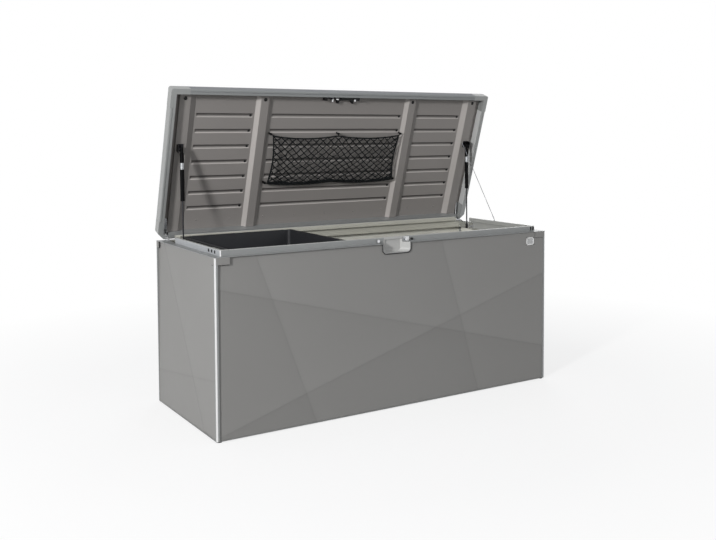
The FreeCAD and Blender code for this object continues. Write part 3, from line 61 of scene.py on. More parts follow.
def makeCamera():
    wide, high = view["picture"]
    lens = bpy.data.cameras.new("viewLens")
    lens.sensor_width = view["sensor"]
    lens.lens = view["focal"] / wide * view["sensor"]
    lens.shift_x = (wide / 2 - view["centre"][0]) / wide
    lens.shift_y = (view["centre"][1] - high / 2) / wide
    lens.clip_end = view["farthest"]
    camera = bpy.data.objects.new("viewCamera", lens)
    camera.location = view["place"]
    camera.rotation_euler = (math.pi / 2 - view["pitch"], 0, view["yaw"])
    bpy.context.scene.collection.objects.link(camera)
    bpy.context.scene.camera = camera


makeCamera()
bpy.context.scene.view_settings.view_transform = "Standard"


# Shader maths: a socket that can be added, multiplied and so on like a number
class Wire:
    def __init__(self, kit, socket):
        self.kit = kit
        self.socket = socket

    def maths(self, operation, *values):
        return self.kit.add("ShaderNodeMath", {"operation": operation}, dict(enumerate(values)))

    def __add__(self, other):
        return self.maths("ADD", self, other)

    def __radd__(self, other):
        return self.maths("ADD", other, self)

    def __sub__(self, other):
        return self.maths("SUBTRACT", self, other)

    def __rsub__(self, other):
        return self.maths("SUBTRACT", other, self)

    def __mul__(self, other):
        return self.maths("MULTIPLY", self, other)

    def __rmul__(self, other):
        return self.maths("MULTIPLY", other, self)

    def __truediv__(self, other):
        return self.maths("DIVIDE", self, other)

    def __rtruediv__(self, other):
        return self.maths("DIVIDE", other, self)

    def __pow__(self, other):
        return self.maths("POWER", self, other)

    def __rpow__(self, other):
        return self.maths("POWER", other, self)

    def __abs__(self):
        return self.maths("ABSOLUTE", self)

    def clamp(self, low=0, high=1):
        return self.maths("MINIMUM", self.maths("MAXIMUM", self, low), high)

    def above(self, limit):
        return self.maths("GREATER_THAN", self, limit)

    # 1 where the wire is 0, fading out over `reach`
    def fade(self, reach):
        return self.maths("EXPONENT", self * (-1 / reach))


# The nodes of a material or of the world
class NodeKit:
    def __init__(self, owner):
        owner.use_nodes = True
        self.tree = owner.node_tree
        self.tree.nodes.clear()

    # One node: its type, its settings, the values or wires of its sockets, and which output to give
    def add(self, kind, settings=None, sockets=None, give=0):
        node = self.tree.nodes.new(kind)
        for key, value in (settings or {}).items():
            setattr(node, key, value)
        for key, value in (sockets or {}).items():
            self.plug(node.inputs[key], value)
        return Wire(self, node.outputs[give])

    def plug(self, target, value):
        if isinstance(value, Wire):
            self.tree.links.new(value.socket, target)
        elif isinstance(value, tuple) and len(value) == 3 and target.type == "RGBA":
            target.default_value = (*value, 1)
        else:
            target.default_value = value

    def split(self, vector):
        node = self.add("ShaderNodeSeparateXYZ", sockets={"Vector": vector}).socket.node
        return [Wire(self, output) for output in node.outputs]


class Finish(NodeKit):
    def __init__(self, name, **fixed):
        self.material = bpy.data.materials.new(name)
        super().__init__(self.material)
        self.shader = self.tree.nodes.new("ShaderNodeBsdfPrincipled")
        self.output = self.tree.nodes.new("ShaderNodeOutputMaterial")
        self.tree.links.new(self.shader.outputs[0], self.output.inputs["Surface"])
        for socket, value in fixed.items():
            self.set(socket.replace("_", " "), value)

    def set(self, socket, value):
        self.plug(self.shader.inputs[socket], value)

    def where(self):
        return self.add("ShaderNodeTexCoord", give="Object")

    def parts(self):
        return self.split(self.where())

    # The way that a face looks, by axis
    def facing(self):
        return dict(zip("XYZ", self.split(self.add("ShaderNodeNewGeometry", give="True Normal"))))

    def noise(self, scale, detail=2, rough=0.5, stretch=None):
        place = self.where()
        if stretch:
            place = self.add("ShaderNodeMapping", sockets={"Vector": place, "Scale": stretch})
        return self.add("ShaderNodeTexNoise", sockets={"Vector": place, "Scale": scale, "Detail": detail,
                                                       "Roughness": rough})

    def mix(self, amount, first, second):
        return self.add("ShaderNodeMix", {"data_type": "RGBA"}, {0: amount, 6: first, 7: second}, 2)

    # Heights are in metres. Sharp edges are rounded over `edge` metres.
    def relief(self, height, edge):
        rounded = self.add("ShaderNodeBevel", {"samples": 4}, {"Radius": edge})
        self.set("Normal", self.add("ShaderNodeBump", sockets={
            "Height": height, "Distance": 1.0, "Strength": 1.0, "Normal": rounded}))


# A written colour, 0 to 255 as seen, in the scene's own linear numbers
def tone(red, green, blue):
    return tuple(((part / 255 + 0.055) / 1.055) ** 2.4 if part > 10 else part / 255 / 12.92
                 for part in (red, green, blue))


def shade(colour, factor):
    return tuple(part * factor for part in colour)


# Painted sheet: fine orange peel, a slow change of gloss, a few light rubs, rounded edges.
# A noise is given by its scale, detail, roughness and stretch.
sheetGrain = {
    "patch": (3.1, 3, 0.6),
    "speck": (850, 1),
    "scuff": (55, 4, 0.75, (1, 1, 0.2)),
    "peel": (420, 2, 0.4),
    "patchShare": 0.6,     # of the colour's change, the rest is speck
    "scuffFrom": 0.68, "scuffGain": 1.6, "scuffLight": 1.25,
    "patchGloss": 0.14, "scuffGloss": 0.06,
    "smoothest": 0.05,
    "height": 0.00006,     # of the orange peel
}


def paintedSheet(name, look, creases=None, tint=None):
    k = sheetGrain
    finish = Finish(name, IOR=1.5, Coat_Roughness=0.14, Metallic=look.get("metal", 0.0),
                    Coat_Weight=look.get("coat", 0.05), Specular_IOR_Level=look.get("shine", 0.5))
    patch, speck, scuff = [finish.noise(*k[grain]) for grain in ("patch", "speck", "scuff")]
    colour, vary = look["colour"], look.get("vary", 0.03)
    base = finish.mix(patch * k["patchShare"] + speck * (1 - k["patchShare"]), shade(colour, 1 - vary),
                      shade(colour, 1 + vary))
    rubsAndHighlight = (scuff - k["scuffFrom"]).clamp() * k["scuffGain"]
    base = finish.mix(rubsAndHighlight, base, shade(colour, k["scuffLight"]))
    if tint:
        base = tint(finish, base)
    finish.set("Base Color", base)
    rough = look["rough"] + (patch - 0.5) * k["patchGloss"] + (scuff - 0.5) * k["scuffGloss"]
    finish.set("Roughness", rough.clamp(k["smoothest"], 1))
    height = finish.noise(*k["peel"]) * k["height"]
    if creases:
        height = height + creases(finish)
    finish.relief(height, look.get("edge", 0.0012))
    return finish


paints = {
    "body_panel": {"colour": tone(144, 143, 141), "rough": 0.45, "coat": 0.0, "shine": 0.35},
    "frame_metal": {"colour": tone(146, 148, 148), "rough": 0.34, "metal": 0.1, "coat": 0.08},
    "rail_metal": {"colour": tone(158, 160, 159), "rough": 0.34, "metal": 0.15, "coat": 0.08},
    "rim_metal": {"colour": tone(147, 149, 149), "rough": 0.36, "metal": 0.12},
    "lid_metal": {"colour": tone(147, 143, 140), "rough": 0.45, "coat": 0.0, "shine": 0.3},
    "floor_metal": {"colour": tone(196, 196, 188), "rough": 0.42, "metal": 0.2},
    "black_paint": {"colour": tone(12, 12, 13), "rough": 0.35, "coat": 0.0, "shine": 0.3, "vary": 0.08,
                    "edge": 0.0006},
}

# Moulded plastic: a fine grain with a little mottling
plasticGrain = {
    "mottle": (14, 3),
    "mottleShare": 0.8,    # of the colour's change, the rest is grain
    "vary": 0.06,
    "gloss": 0.1,
    "edge": 0.001,
}


def mouldedPlastic(name, look):
    k = plasticGrain
    finish = Finish(name, IOR=1.46, Specular_IOR_Level=look.get("shine", 0.5))
    grain = finish.noise(look.get("grain", 1300), 2, 0.6)
    mottle = finish.noise(*k["mottle"])
    colour = look["colour"]
    finish.set("Base Color", finish.mix(mottle * k["mottleShare"] + grain * (1 - k["mottleShare"]),
                                        shade(colour, 1 - k["vary"]), shade(colour, 1 + k["vary"])))
    finish.set("Roughness", (look["rough"] + (mottle - 0.5) * k["gloss"]).clamp())
    finish.relief(grain * look.get("height", 0.00005), k["edge"])
    return finish


plastics = {
    "grey_plastic": {"colour": tone(144, 144, 143), "rough": 0.5},
    "badge_white": {"colour": tone(250, 250, 249), "rough": 0.35},
    "badge_grey": {"colour": tone(198, 199, 199), "rough": 0.4},
    "cup_plastic": {"colour": tone(186, 186, 184), "rough": 0.42},
    "black_plastic": {"colour": tone(12, 12, 13), "rough": 0.4, "shine": 0.3},
    "seam_black": {"colour": tone(66, 66, 67), "rough": 0.6, "shine": 0.2},
    "black_rubber": {"colour": tone(24, 24, 25), "rough": 0.8, "grain": 2200, "height": 0.0001},
    "tray_plastic": {"colour": tone(38, 39, 42), "rough": 0.48},
    "net_fabric": {"colour": tone(10, 14, 16), "rough": 0.85, "grain": 2600, "height": 0.0002,
                   "shine": 0.25},
}

# Bare metal: drawn along the box, bright where it is rubbed
metalGrain = {
    "drawn": (260, 3, 0.6, (0.08, 1, 1)),
    "dark": 0.88, "light": 1.08,
    "gloss": 0.16,
    "smoothest": 0.05,
    "height": 0.00002,
    "edge": 0.0005,
}


def bareMetal(name, look):
    k = metalGrain
    finish = Finish(name, Metallic=1.0)
    drawn = finish.noise(*k["drawn"])
    finish.set("Base Color", finish.mix(drawn, shade(look["colour"], k["dark"]),
                                        shade(look["colour"], k["light"])))
    finish.set("Roughness", (look["rough"] + (drawn - 0.5) * k["gloss"]).clamp(k["smoothest"], 1))
    finish.relief(drawn * k["height"], k["edge"])
    return finish


metals = {
    "bright_steel": {"colour": tone(216, 217, 219), "rough": 0.24},
    "dark_steel": {"colour": tone(58, 58, 61), "rough": 0.32},
    "cable_steel": {"colour": tone(132, 133, 137), "rough": 0.4},
}

finishes = {}
for makeFinish, looks in ((paintedSheet, paints), (mouldedPlastic, plastics), (bareMetal, metals)):
    for slotName, look in looks.items():
        finishes[slotName] = makeFinish(slotName, look)

# Pressed creases of the panels. A line goes from (share of the width, share of the height) to another
# and has a strength: above 0 it is a ridge, below 0 a valley. The sheet bends most at the line.
crease = {
    "tilt": 0.06,       # slope at the line
    "reach": 0.16,      # metres over which it eases
    "line": 0.006,      # width of the painted shade in the fold
    "foldShade": 0.13,       # how strong the painted shade is
    "dark": 0.4,        # its colour, as a share of the paint's
    "long": [((0.104, 1), (0.2615, 0), -1), ((0.6385, 1), (0.761, 0), -1),
             ((0, 0.831), (1, 0.219), 2.6), ((0, 0.012), (1, 0.723), 1.1)],
    "side": [((0.875, 1), (0.2, 0), -1), ((1, 0.198), (0, 0.328), 1)],
    "low": 0.005,
    "high": 0.865,
    "widths": {"front": 2.0, "rear": 2.0, "left": 0.83, "right": 0.83},
}


# The distance from each crease, and its strength
def creaseLines(finish, which):
    x, y, z = finish.parts()
    width, tall = crease["widths"][which], crease["high"] - crease["low"]
    isLong = which in ("front", "rear")
    along = x if isLong else y
    lines = []
    for start, end, strength in crease["long" if isLong else "side"]:
        points = [((1 - share if which == "rear" else share) - 0.5, up) for share, up in (start, end)]
        (x0, z0), (x1, z1) = [(share * width, crease["low"] + up * tall) for share, up in points]
        run, rise = x1 - x0, z1 - z0
        size = math.hypot(run, rise)
        lines.append((abs((along - x0) * (rise / size) - (z - z0) * (run / size)), strength))
    return lines


def creaseRelief(which):
    def relief(finish):
        height = None
        for away, strength in creaseLines(finish, which):
            part = (1 - away.fade(crease["reach"])) * (-strength * crease["tilt"] * crease["reach"])
            height = part if height is None else height + part
        return height
    return relief


# The pale primer of inner faces, and light and shade painted by the way that a face looks and by its
# place
primerAndPaintedLight = {
    "primer": tone(226, 225, 216), "rear": tone(196, 195, 184), "right": tone(176, 177, 174),
    "ways": {"front": ("Y", 1), "rear": ("Y", -1), "left": ("X", 1), "right": ("X", -1)},
    "inward": 0.4,                          # how far a face looks inwards to count as an inner one
    "roundFrom": 0.12, "roundGain": 10,     # where the painted highlight of a round edge starts, and how fast it grows
    "postHighlight": tone(232, 232, 232),
    "railUp": 0.6, "railUpShade": tone(150, 152, 155),
    "railLitX": 0.9, "railLitGain": 100, "railLit": tone(214, 215, 214),
    "rimSide": 0.6, "rimFlankLight": tone(168, 171, 174), "rimEdge": tone(226, 226, 226),
    "rimTopZ": 0.8905, "rimTopGain": 900, "rimTopMost": 0.9, "rimTopHighlight": tone(182, 183, 180),
}


# Inner faces of the box: a pale primer, so the inside is light
def innerPrimer(which, colour="primer"):
    axis, way = primerAndPaintedLight["ways"][which]

    def tint(finish, base):
        inward = finish.facing()[axis] * way
        return finish.mix(inward.above(primerAndPaintedLight["inward"]), base, primerAndPaintedLight[colour])
    return tint


# Painted shade: a thin darker line along each crease; the inner faces keep the primer
def panelTint(which):
    def tint(finish, base):
        dark = shade(paints["body_panel"]["colour"], crease["dark"])
        for away, _ in creaseLines(finish, which):
            base = finish.mix(away.fade(crease["line"]) * crease["foldShade"], base, dark)
        return innerPrimer(which)(finish, base)
    return tint


def roundEdge(way):
    return ((abs(way["X"] * way["Y"]) - primerAndPaintedLight["roundFrom"]) * primerAndPaintedLight["roundGain"]).clamp()


# Painted highlight: the round edges of the corner posts and caps are painted bright
def postHighlightTint(finish, base):
    return finish.mix(roundEdge(finish.facing()), base, primerAndPaintedLight["postHighlight"])


# Painted shade: the front rail is painted darker where it faces up on the open lid
def upFaceShadeTint(finish, base):
    return finish.mix(finish.facing()["Z"].above(primerAndPaintedLight["railUp"]), base, primerAndPaintedLight["railUpShade"])


# Painted highlight: the inner face of the lid's right rail is painted lighter, where the light falls on
# it
def railHighlightTint(finish, base):
    x = finish.parts()[0]
    inward = (finish.facing()["X"] * -1).above(primerAndPaintedLight["inward"])
    rightEnd = ((x - primerAndPaintedLight["railLitX"]) * primerAndPaintedLight["railLitGain"]).clamp()
    return finish.mix(inward * rightEnd, base, primerAndPaintedLight["railLit"])


# Painted light on the rim: faces that look along X are painted lighter, round edges and the folded top
# edge carry a painted highlight; its inner faces keep the primer
def rimTint(which):
    def tint(finish, base):
        z = finish.parts()[2]
        way = finish.facing()
        base = finish.mix(abs(way["X"]).above(primerAndPaintedLight["rimSide"]), base, primerAndPaintedLight["rimFlankLight"])
        base = innerPrimer(which, which if which in primerAndPaintedLight else "primer")(finish, base)
        base = finish.mix(roundEdge(way), base, primerAndPaintedLight["rimEdge"])
        top = ((z - primerAndPaintedLight["rimTopZ"]) * primerAndPaintedLight["rimTopGain"]).clamp(0, primerAndPaintedLight["rimTopMost"])
        return finish.mix(top, base, primerAndPaintedLight["rimTopHighlight"])
    return tint


# The lid is drawn closed and turned open round its hinge
lidPose = {"open": math.radians(71.5), "hingeY": 0.405, "hingeZ": 0.885}

# Lid sheet: painted shade in the upper half of each pressed groove, a painted highlight on its lower lip
groove = {
    "pitch": 0.0875, "rows": 7, "reach": 0.28,
    "bays": ((-0.842, -0.526), (-0.418, 0.418), (0.526, 0.842)),
    "dark": (-0.012, 0.003), "light": (0.0075, 0.0125), "shade": 0.36, "shine": 1.85,
    "softBay": 0.004, "softReach": 0.001, "softDark": 0.003, "softLight": 0.001,
}


# The place across and along the lid as if it were closed
def closedPlace(finish):
    x, y, z = finish.parts()
    k, turn = lidPose, lidPose["open"]
    return x, k["hingeY"] + (y - k["hingeY"]) * math.cos(turn) - (z - k["hingeZ"]) * math.sin(turn)


def between(value, low, high, soft):
    return ((value - low) / soft).clamp() * ((high - value) / soft).clamp()


def amongSpans(value, spans, soft):
    inside = [between(value, low, high, soft) for low, high in spans]
    return sum(inside[1:], inside[0])


def grooveShadeAndHighlight(finish, base):
    k = groove
    x, y = closedPlace(finish)
    share = y / k["pitch"] + 20.5     # a row's middle is at a half, and the number stays above 0
    across = (share.maths("FRACT", share) - 0.5) * k["pitch"]
    bay = amongSpans(x, k["bays"], k["softBay"]) * between(y, -k["reach"], k["reach"], k["softReach"])
    colour = paints["lid_metal"]["colour"]
    # painted shade in the upper half of each groove, a painted highlight on its lower lip
    for part, soft, level in (("dark", "softDark", "shade"), ("light", "softLight", "shine")):
        base = finish.mix(between(across, *k[part], k[soft]) * bay, base, shade(colour, k[level]))
    return base


# Painted highlight on the left flanks of the braces, where the light falls, broken up by a noise
flanks = {
    "spans": ((-0.518, -0.494), (0.426, 0.450), (0.850, 0.884)),
    "soft": 0.003,
    "shine": 1.8,
    "highlightNoise": (40, 3, 0.6, (1, 0.2, 0.2)),
    "highlightNoiseShare": 0.3,
}


def flankHighlightTint(finish, base):
    k = flanks
    x = finish.parts()[0]
    rubsAndHighlight = amongSpans(x, k["spans"], k["soft"])
    rubsAndHighlight = rubsAndHighlight * (1 - k["highlightNoiseShare"] + finish.noise(*k["highlightNoise"]) * k["highlightNoiseShare"])
    return finish.mix(rubsAndHighlight, base, shade(paints["lid_metal"]["colour"], k["shine"]))


# Gas springs: black enamel with a bare band of the tube below the upper socket
springLook = {
    "top": (0.2394, 1.35156), "bottom": (0.235, 0.838),     # y and z of its ends
    "band": (0.072, 0.106), "bandSoft": 0.00025,            # metres below the top
    "black": tone(6, 6, 7), "bare": tone(150, 152, 154),
    "drawn": (900, 2, 0.6, (1, 1, 0.05)), "vary": 0.5,
    "rough": 0.36, "gloss": 0.12,
}


def makeSpringFinish():
    k = springLook
    finish = Finish("springEnamel", IOR=1.35, Specular_IOR_Level=0.1)
    _, y, z = finish.parts()
    (topY, topZ), (lowY, lowZ) = k["top"], k["bottom"]
    size = math.hypot(topY - lowY, topZ - lowZ)
    down = (topY - y) * ((topY - lowY) / size) + (topZ - z) * ((topZ - lowZ) / size)
    bare = between(down, *k["band"], k["bandSoft"])
    drawn = finish.noise(*k["drawn"])
    enamel = finish.mix(drawn, k["black"], shade(k["black"], 1 + k["vary"]))
    finish.set("Base Color", finish.mix(bare, enamel, k["bare"]))
    finish.set("Metallic", bare)
    finish.set("Roughness", k["rough"] + drawn * k["gloss"])
    finish.relief(drawn * metalGrain["height"], metalGrain["edge"])
    return finish


dullPaint = {"colour": tone(156, 159, 159), "rough": 0.6, "metal": 0.0, "coat": 0.0, "shine": 0.1}
panelFinishes = {which: paintedSheet(which + "_paint", paints["body_panel"], creaseRelief(which),
                                     panelTint(which)) for which in crease["widths"]}
rimFinishes = {which: paintedSheet(which + "RimPaint", paints["rim_metal"], tint=rimTint(which))
               for which in primerAndPaintedLight["ways"]}
lidSheetFinish = paintedSheet("lidSheetPaint", paints["lid_metal"], tint=grooveShadeAndHighlight)
braceFinish = paintedSheet("bracePaint", paints["lid_metal"], tint=flankHighlightTint)
postFinish = paintedSheet("postPaint", paints["frame_metal"], tint=postHighlightTint)
capFinish = paintedSheet("capPaint", paints["body_panel"], tint=postHighlightTint)
railFinish = paintedSheet("railPaint", paints["rail_metal"], tint=railHighlightTint)
frontRailFinish = paintedSheet("frontRailPaint", dullPaint, tint=upFaceShadeTint)
print("finishes made")


def give(finish, *names):
    for name in names:
        nodes[name].material_slots[0].material = finish.material


# Every carried-over solid takes the finish of its slot, and these take their own
for solid in nodes.values():
    for place in solid.material_slots:
        place.material = finishes[place.material.name.split(".")[0]].material
for which, finish in panelFinishes.items():
    give(finish, which + "_panel")
for name in ("rim_front_left", "rim_front_right", "rim_left", "rim_right", "rim_rear"):
    give(rimFinishes[name.split("_")[1]], name)
for end in ("left", "right"):
    give(rimFinishes[end], "rim_corner_" + end)
    give(railFinish, "lid_rail_" + end)
    give(braceFinish, "lid_brace_" + end, "lid_stiffener_" + end)
    give(postFinish, "post_front_" + end, "post_rear_" + end)
    give(finishes["rail_metal"], "lid_corner_front_" + end, "lid_corner_rear_" + end)
give(lidSheetFinish, "lid_sheet")
give(capFinish, "body_corner_caps")
give(frontRailFinish, "lid_rail_front")
give(finishes["cup_plastic"], "grip_cup")
give(makeSpringFinish(), "spring_cylinder_left", "spring_cylinder_right")
give(finishes["dark_steel"], "spring_rod_left", "spring_rod_right", "spring_brackets_upper")
print("finishes given")

# Mesh helpers. What is on the lid is drawn closed and turned to where the open lid is.
hinge = Vector((0, lidPose["hingeY"], lidPose["hingeZ"]))
lidTurn = (Matrix.Translation(hinge) @ Matrix.Rotation(-lidPose["open"], 4, "X")
           @ Matrix.Translation(-hinge))


def makePiece(name, shape, slotName, body, smooth=35, stands=()):
    if body in ("lid", "latch"):
        bmesh.ops.transform(shape, matrix=lidTurn, verts=shape.verts)
    bmesh.ops.recalc_face_normals(shape, faces=shape.faces)
    mesh = bpy.data.meshes.new(name)
    shape.to_mesh(mesh)
    shape.free()
    mesh.shade_smooth()
    mesh.set_sharp_from_angle(angle=math.radians(smooth))
    mesh.materials.append(finishes[slotName].material)
    piece = bpy.data.objects.new(name, mesh)
    bpy.context.scene.collection.objects.link(piece)
    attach(piece, body)
    if stands:
        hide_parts(*stands)
    return piece


def addRing(shape, centre, side, other, radius, sides):
    return [shape.verts.new(centre + side * (radius * math.cos(turn)) + other * (radius * math.sin(turn)))
            for turn in (2 * math.pi * step / sides for step in range(sides))]


def skinRings(shape, rings, shut=False):
    for index in range(len(rings) if shut else len(rings) - 1):
        first, second = rings[index], rings[(index + 1) % len(rings)]
        for step in range(len(first)):
            shape.faces.new((first[step], first[step - 1], second[step - 1], second[step]))
    if not shut:
        shape.faces.new(rings[0])
        shape.faces.new(reversed(rings[-1]))


# A tube along points, with the same frame carried along it
def addTube(shape, points, radius, sides=8, shut=False):
    points = [Vector(point) for point in points]
    count = len(points)
    side = None
    rings = []
    for index, point in enumerate(points):
        before = points[index - 1] if index or shut else point
        after = points[(index + 1) % count] if index < count - 1 or shut else point
        along = (after - before).normalized()
        if side is None:
            side = along.orthogonal().normalized()
        side = (side - along * side.dot(along)).normalized()
        rings.append(addRing(shape, point, side, along.cross(side), radius, sides))
    skinRings(shape, rings, shut)


# A turned form: (radius, height) pairs round an axis
def addTurned(shape, place, axis, profile, sides=20):
    axis = Vector(axis).normalized()
    side = axis.orthogonal().normalized()
    other = axis.cross(side)
    skinRings(shape, [addRing(shape, Vector(place) + axis * height, side, other, radius, sides)
                      for radius, height in profile])


# A plate: an outline (pairs of the other two axes) between two heights of one axis, edges rounded
def addPlate(shape, outline, low, high, axis="z", edge=0.0, segments=1):
    order = {"x": lambda a, b, c: (c, a, b), "y": lambda a, b, c: (a, c, b),
             "z": lambda a, b, c: (a, b, c)}[axis]
    lower = [shape.verts.new(order(a, b, low)) for a, b in outline]
    upper = [shape.verts.new(order(a, b, high)) for a, b in outline]
    faces = [shape.faces.new(lower), shape.faces.new(reversed(upper))]
    for index in range(len(outline)):
        faces.append(shape.faces.new((lower[index], lower[index - 1], upper[index - 1], upper[index])))
    if edge:
        edges = list(dict.fromkeys(line for face in faces for line in face.edges))
        bmesh.ops.bevel(shape, geom=edges, offset=edge, segments=segments, profile=0.5, affect="EDGES",
                        clamp_overlap=True)


# Equal steps from one turn to another, in degrees
def arc(start, end, steps):
    return [math.radians(start + (end - start) * step / steps) for step in range(steps + 1)]


def roundedBox(a0, a1, b0, b1, radius):
    corners = []
    for (a, b), start in (((a1 - radius, b0 + radius), -90), ((a1 - radius, b1 - radius), 0),
                          ((a0 + radius, b1 - radius), 90), ((a0 + radius, b0 + radius), 180)):
        corners += [(a + radius * math.cos(turn), b + radius * math.sin(turn))
                    for turn in arc(start, start + 90, 4)]
    return corners


# Storage net: knotted strands, a top cord that sags between its hooks, a bunched lower edge
netting = {
    "left": -0.402, "right": 0.408, "top": -0.153, "bottom": 0.126,
    "hooks": ((-0.419, -0.163), (0, -0.164), (0.419, -0.163),
              (-0.419, 0.123), (0, 0.124), (0.419, 0.123)),
    "height": 0.8896,                   # of the strands, lid closed
    "columns": 34, "rows": 15,          # half diamonds
    "sag": 0.017, "sagCurve": 0.8,      # of the top cord between hooks
    "lowSag": 0.012,                    # of the lower edge
    "crowd": 1.12,                      # rows lie closer towards the lower edge
    "pull": 0.014, "pullReach": 1.05,   # of the two ends towards the middle
    "belly": 0.012, "bellyCurve": (0.5, 0.8),
    "strand": 0.0032, "knot": 0.0058, "cord": 0.0042, "hem": 0.0055,
    "knotForm": (1.15, 0.85, 0.75),
    "loose": 0.0034, "droop": 0.0016,
    "flat": 0.8905, "keep": 0.1,        # a height at the shut lid, and a share
    "seed": 11,
}
netMiddle = -netting["left"] / (netting["right"] - netting["left"])    # the centre hooks' place across it

# Slack turns of the lower edge, gathered into a dark bunch
slack = {
    "turns": 4, "steps": 60, "endSteps": 16, "inset": 0.006,
    "phase": (0, 6), "waves": (5, 9), "thick": (0.55, 0.8),
    "lift": 0.006, "wave": 0.005, "stagger": 0.003, "staggerMost": 0.005, "depth": 0.002,
}

# Lashings: each corner and middle of the net is tied to its hook by two bows and a loop
lashing = {
    "above": 0.0012, "bow": 0.0035, "bowDepth": 0.001, "bowRadius": 0.0017,
    "loop": 0.0055, "loopTwist": 0.0008, "loopRadius": 0.0016, "steps": 16,
}


def netPoint(u, v):
    n = netting
    share = u / netMiddle if u < netMiddle else (u - netMiddle) / (1 - netMiddle)
    span = abs(math.sin(math.pi * share))
    pull = n["pull"] * math.sin(math.pi * min(v * n["pullReach"], 1)) * (1 - 2 * u) ** 3
    top = n["top"] + n["sag"] * span ** n["sagCurve"]
    bottom = n["bottom"] + n["lowSag"] * span
    acrossCurve, downCurve = n["bellyCurve"]
    return Vector((n["left"] + (n["right"] - n["left"]) * u + pull,
                   top + (bottom - top) * (1 - (1 - v) ** n["crowd"]),
                   n["height"] - n["belly"] * math.sin(math.pi * u) ** acrossCurve
                   * math.sin(math.pi * v) ** downCurve))


def netGrid(i, j):
    return netPoint(i / netting["columns"], j / netting["rows"])


def placeKnots(chance):
    n = netting
    knots = {}
    for i in range(n["columns"] + 1):
        for j in range(n["rows"] + 1):
            if (i + j) % 2 == 0:
                knots[i, j] = netGrid(i, j)
                if 0 < i < n["columns"] and 0 < j < n["rows"]:
                    knots[i, j] += Vector([chance.uniform(-1, 1) * n["loose"] for axis in range(3)])
    return knots


def makeNetPiece(name, shape, **more):
    piece = makePiece(name, shape, "net_fabric", "lid", stands=("net",), **more)
    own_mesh(piece)


def makeNetStrands(knots, chance):
    n = netting
    strands = bmesh.new()
    for (i, j), start in knots.items():
        for step in (-1, 1):
            end = knots.get((i + step, j + 1))
            if end is None:
                continue
            droop = Vector((0, chance.uniform(0.2, 1.2), -chance.uniform(0, 1))) * n["droop"]
            addTube(strands, [start, start.lerp(end, 0.5) + droop, end], n["strand"], 5)
    # the ends of the rows that have no knot on the border are looped round it
    for j in range(n["rows"]):
        for i in (0, n["columns"]):
            if (i, j) not in knots and (abs(i - 1), j) in knots:
                addTube(strands, [knots[abs(i - 1), j], netGrid(i, j)], n["strand"], 5)
    makeNetPiece("netStrands", strands)


def makeNetKnots(knots, chance):
    ties = bmesh.new()
    for point in knots.values():
        ball = bmesh.ops.create_icosphere(ties, subdivisions=1, radius=netting["knot"])
        turn = Matrix.Rotation(chance.uniform(0, 3), 4, "Z") @ Matrix.Diagonal((*netting["knotForm"], 1))
        bmesh.ops.transform(ties, matrix=Matrix.Translation(point) @ turn, verts=ball["verts"])
    makeNetPiece("netKnots", ties, smooth=80)


def makeNetBorder(chance):
    border = bmesh.new()
    steps, ends = slack["steps"], slack["endSteps"]
    around = [netPoint(k / steps, 0) for k in range(steps)]
    around += [netPoint(1, k / ends) for k in range(ends)]
    around += [netPoint(1 - k / steps, 1) for k in range(steps)]
    around += [netPoint(0, 1 - k / ends) for k in range(ends)]
    addTube(border, around, netting["cord"], 8, shut=True)
    for turn in range(slack["turns"]):
        phase = chance.uniform(*slack["phase"])
        waves = chance.uniform(*slack["waves"])
        stagger = slack["stagger"] * turn % slack["staggerMost"]
        points = []
        for k in range(steps + 1):
            u = slack["inset"] + (1 - 2 * slack["inset"]) * k / steps
            lift = slack["lift"] * (1 + turn / 3) + slack["wave"] * math.sin(waves * math.pi * u + phase)
            points.append(netPoint(u, 1)
                          + Vector((0, stagger - lift, -slack["depth"] * math.cos(waves * 4 * u))))
        addTube(border, points, netting["hem"] * chance.uniform(*slack["thick"]), 7)
    makeNetPiece("netBorder", border, smooth=60)


def makeNetLashings():
    k = lashing
    rings = bmesh.new()
    for index, (x, y) in enumerate(netting["hooks"]):
        hook = Vector((x, y, netting["height"] + k["above"]))
        near = netPoint((0, netMiddle, 1)[index % 3], index // 3)
        for way in (-1, 1):
            bow = hook.lerp(near, 0.5) + Vector((0, k["bow"] * way, -k["bowDepth"]))
            addTube(rings, [near, bow, hook], k["bowRadius"], 6)
        loop = [hook + Vector((k["loop"] * math.cos(turn), k["loop"] * math.sin(turn),
                               k["loopTwist"] * math.sin(2 * turn)))
                for turn in arc(0, 360, k["steps"])[:-1]]
        addTube(rings, loop, k["loopRadius"], 6, shut=True)
    makeNetPiece("netLashings", rings, smooth=60)


def makeNet():
    chance = random.Random(netting["seed"])
    knots = placeKnots(chance)
    makeNetStrands(knots, chance)
    makeNetKnots(knots, chance)
    makeNetBorder(chance)
    makeNetLashings()


makeNet()
print("net made")

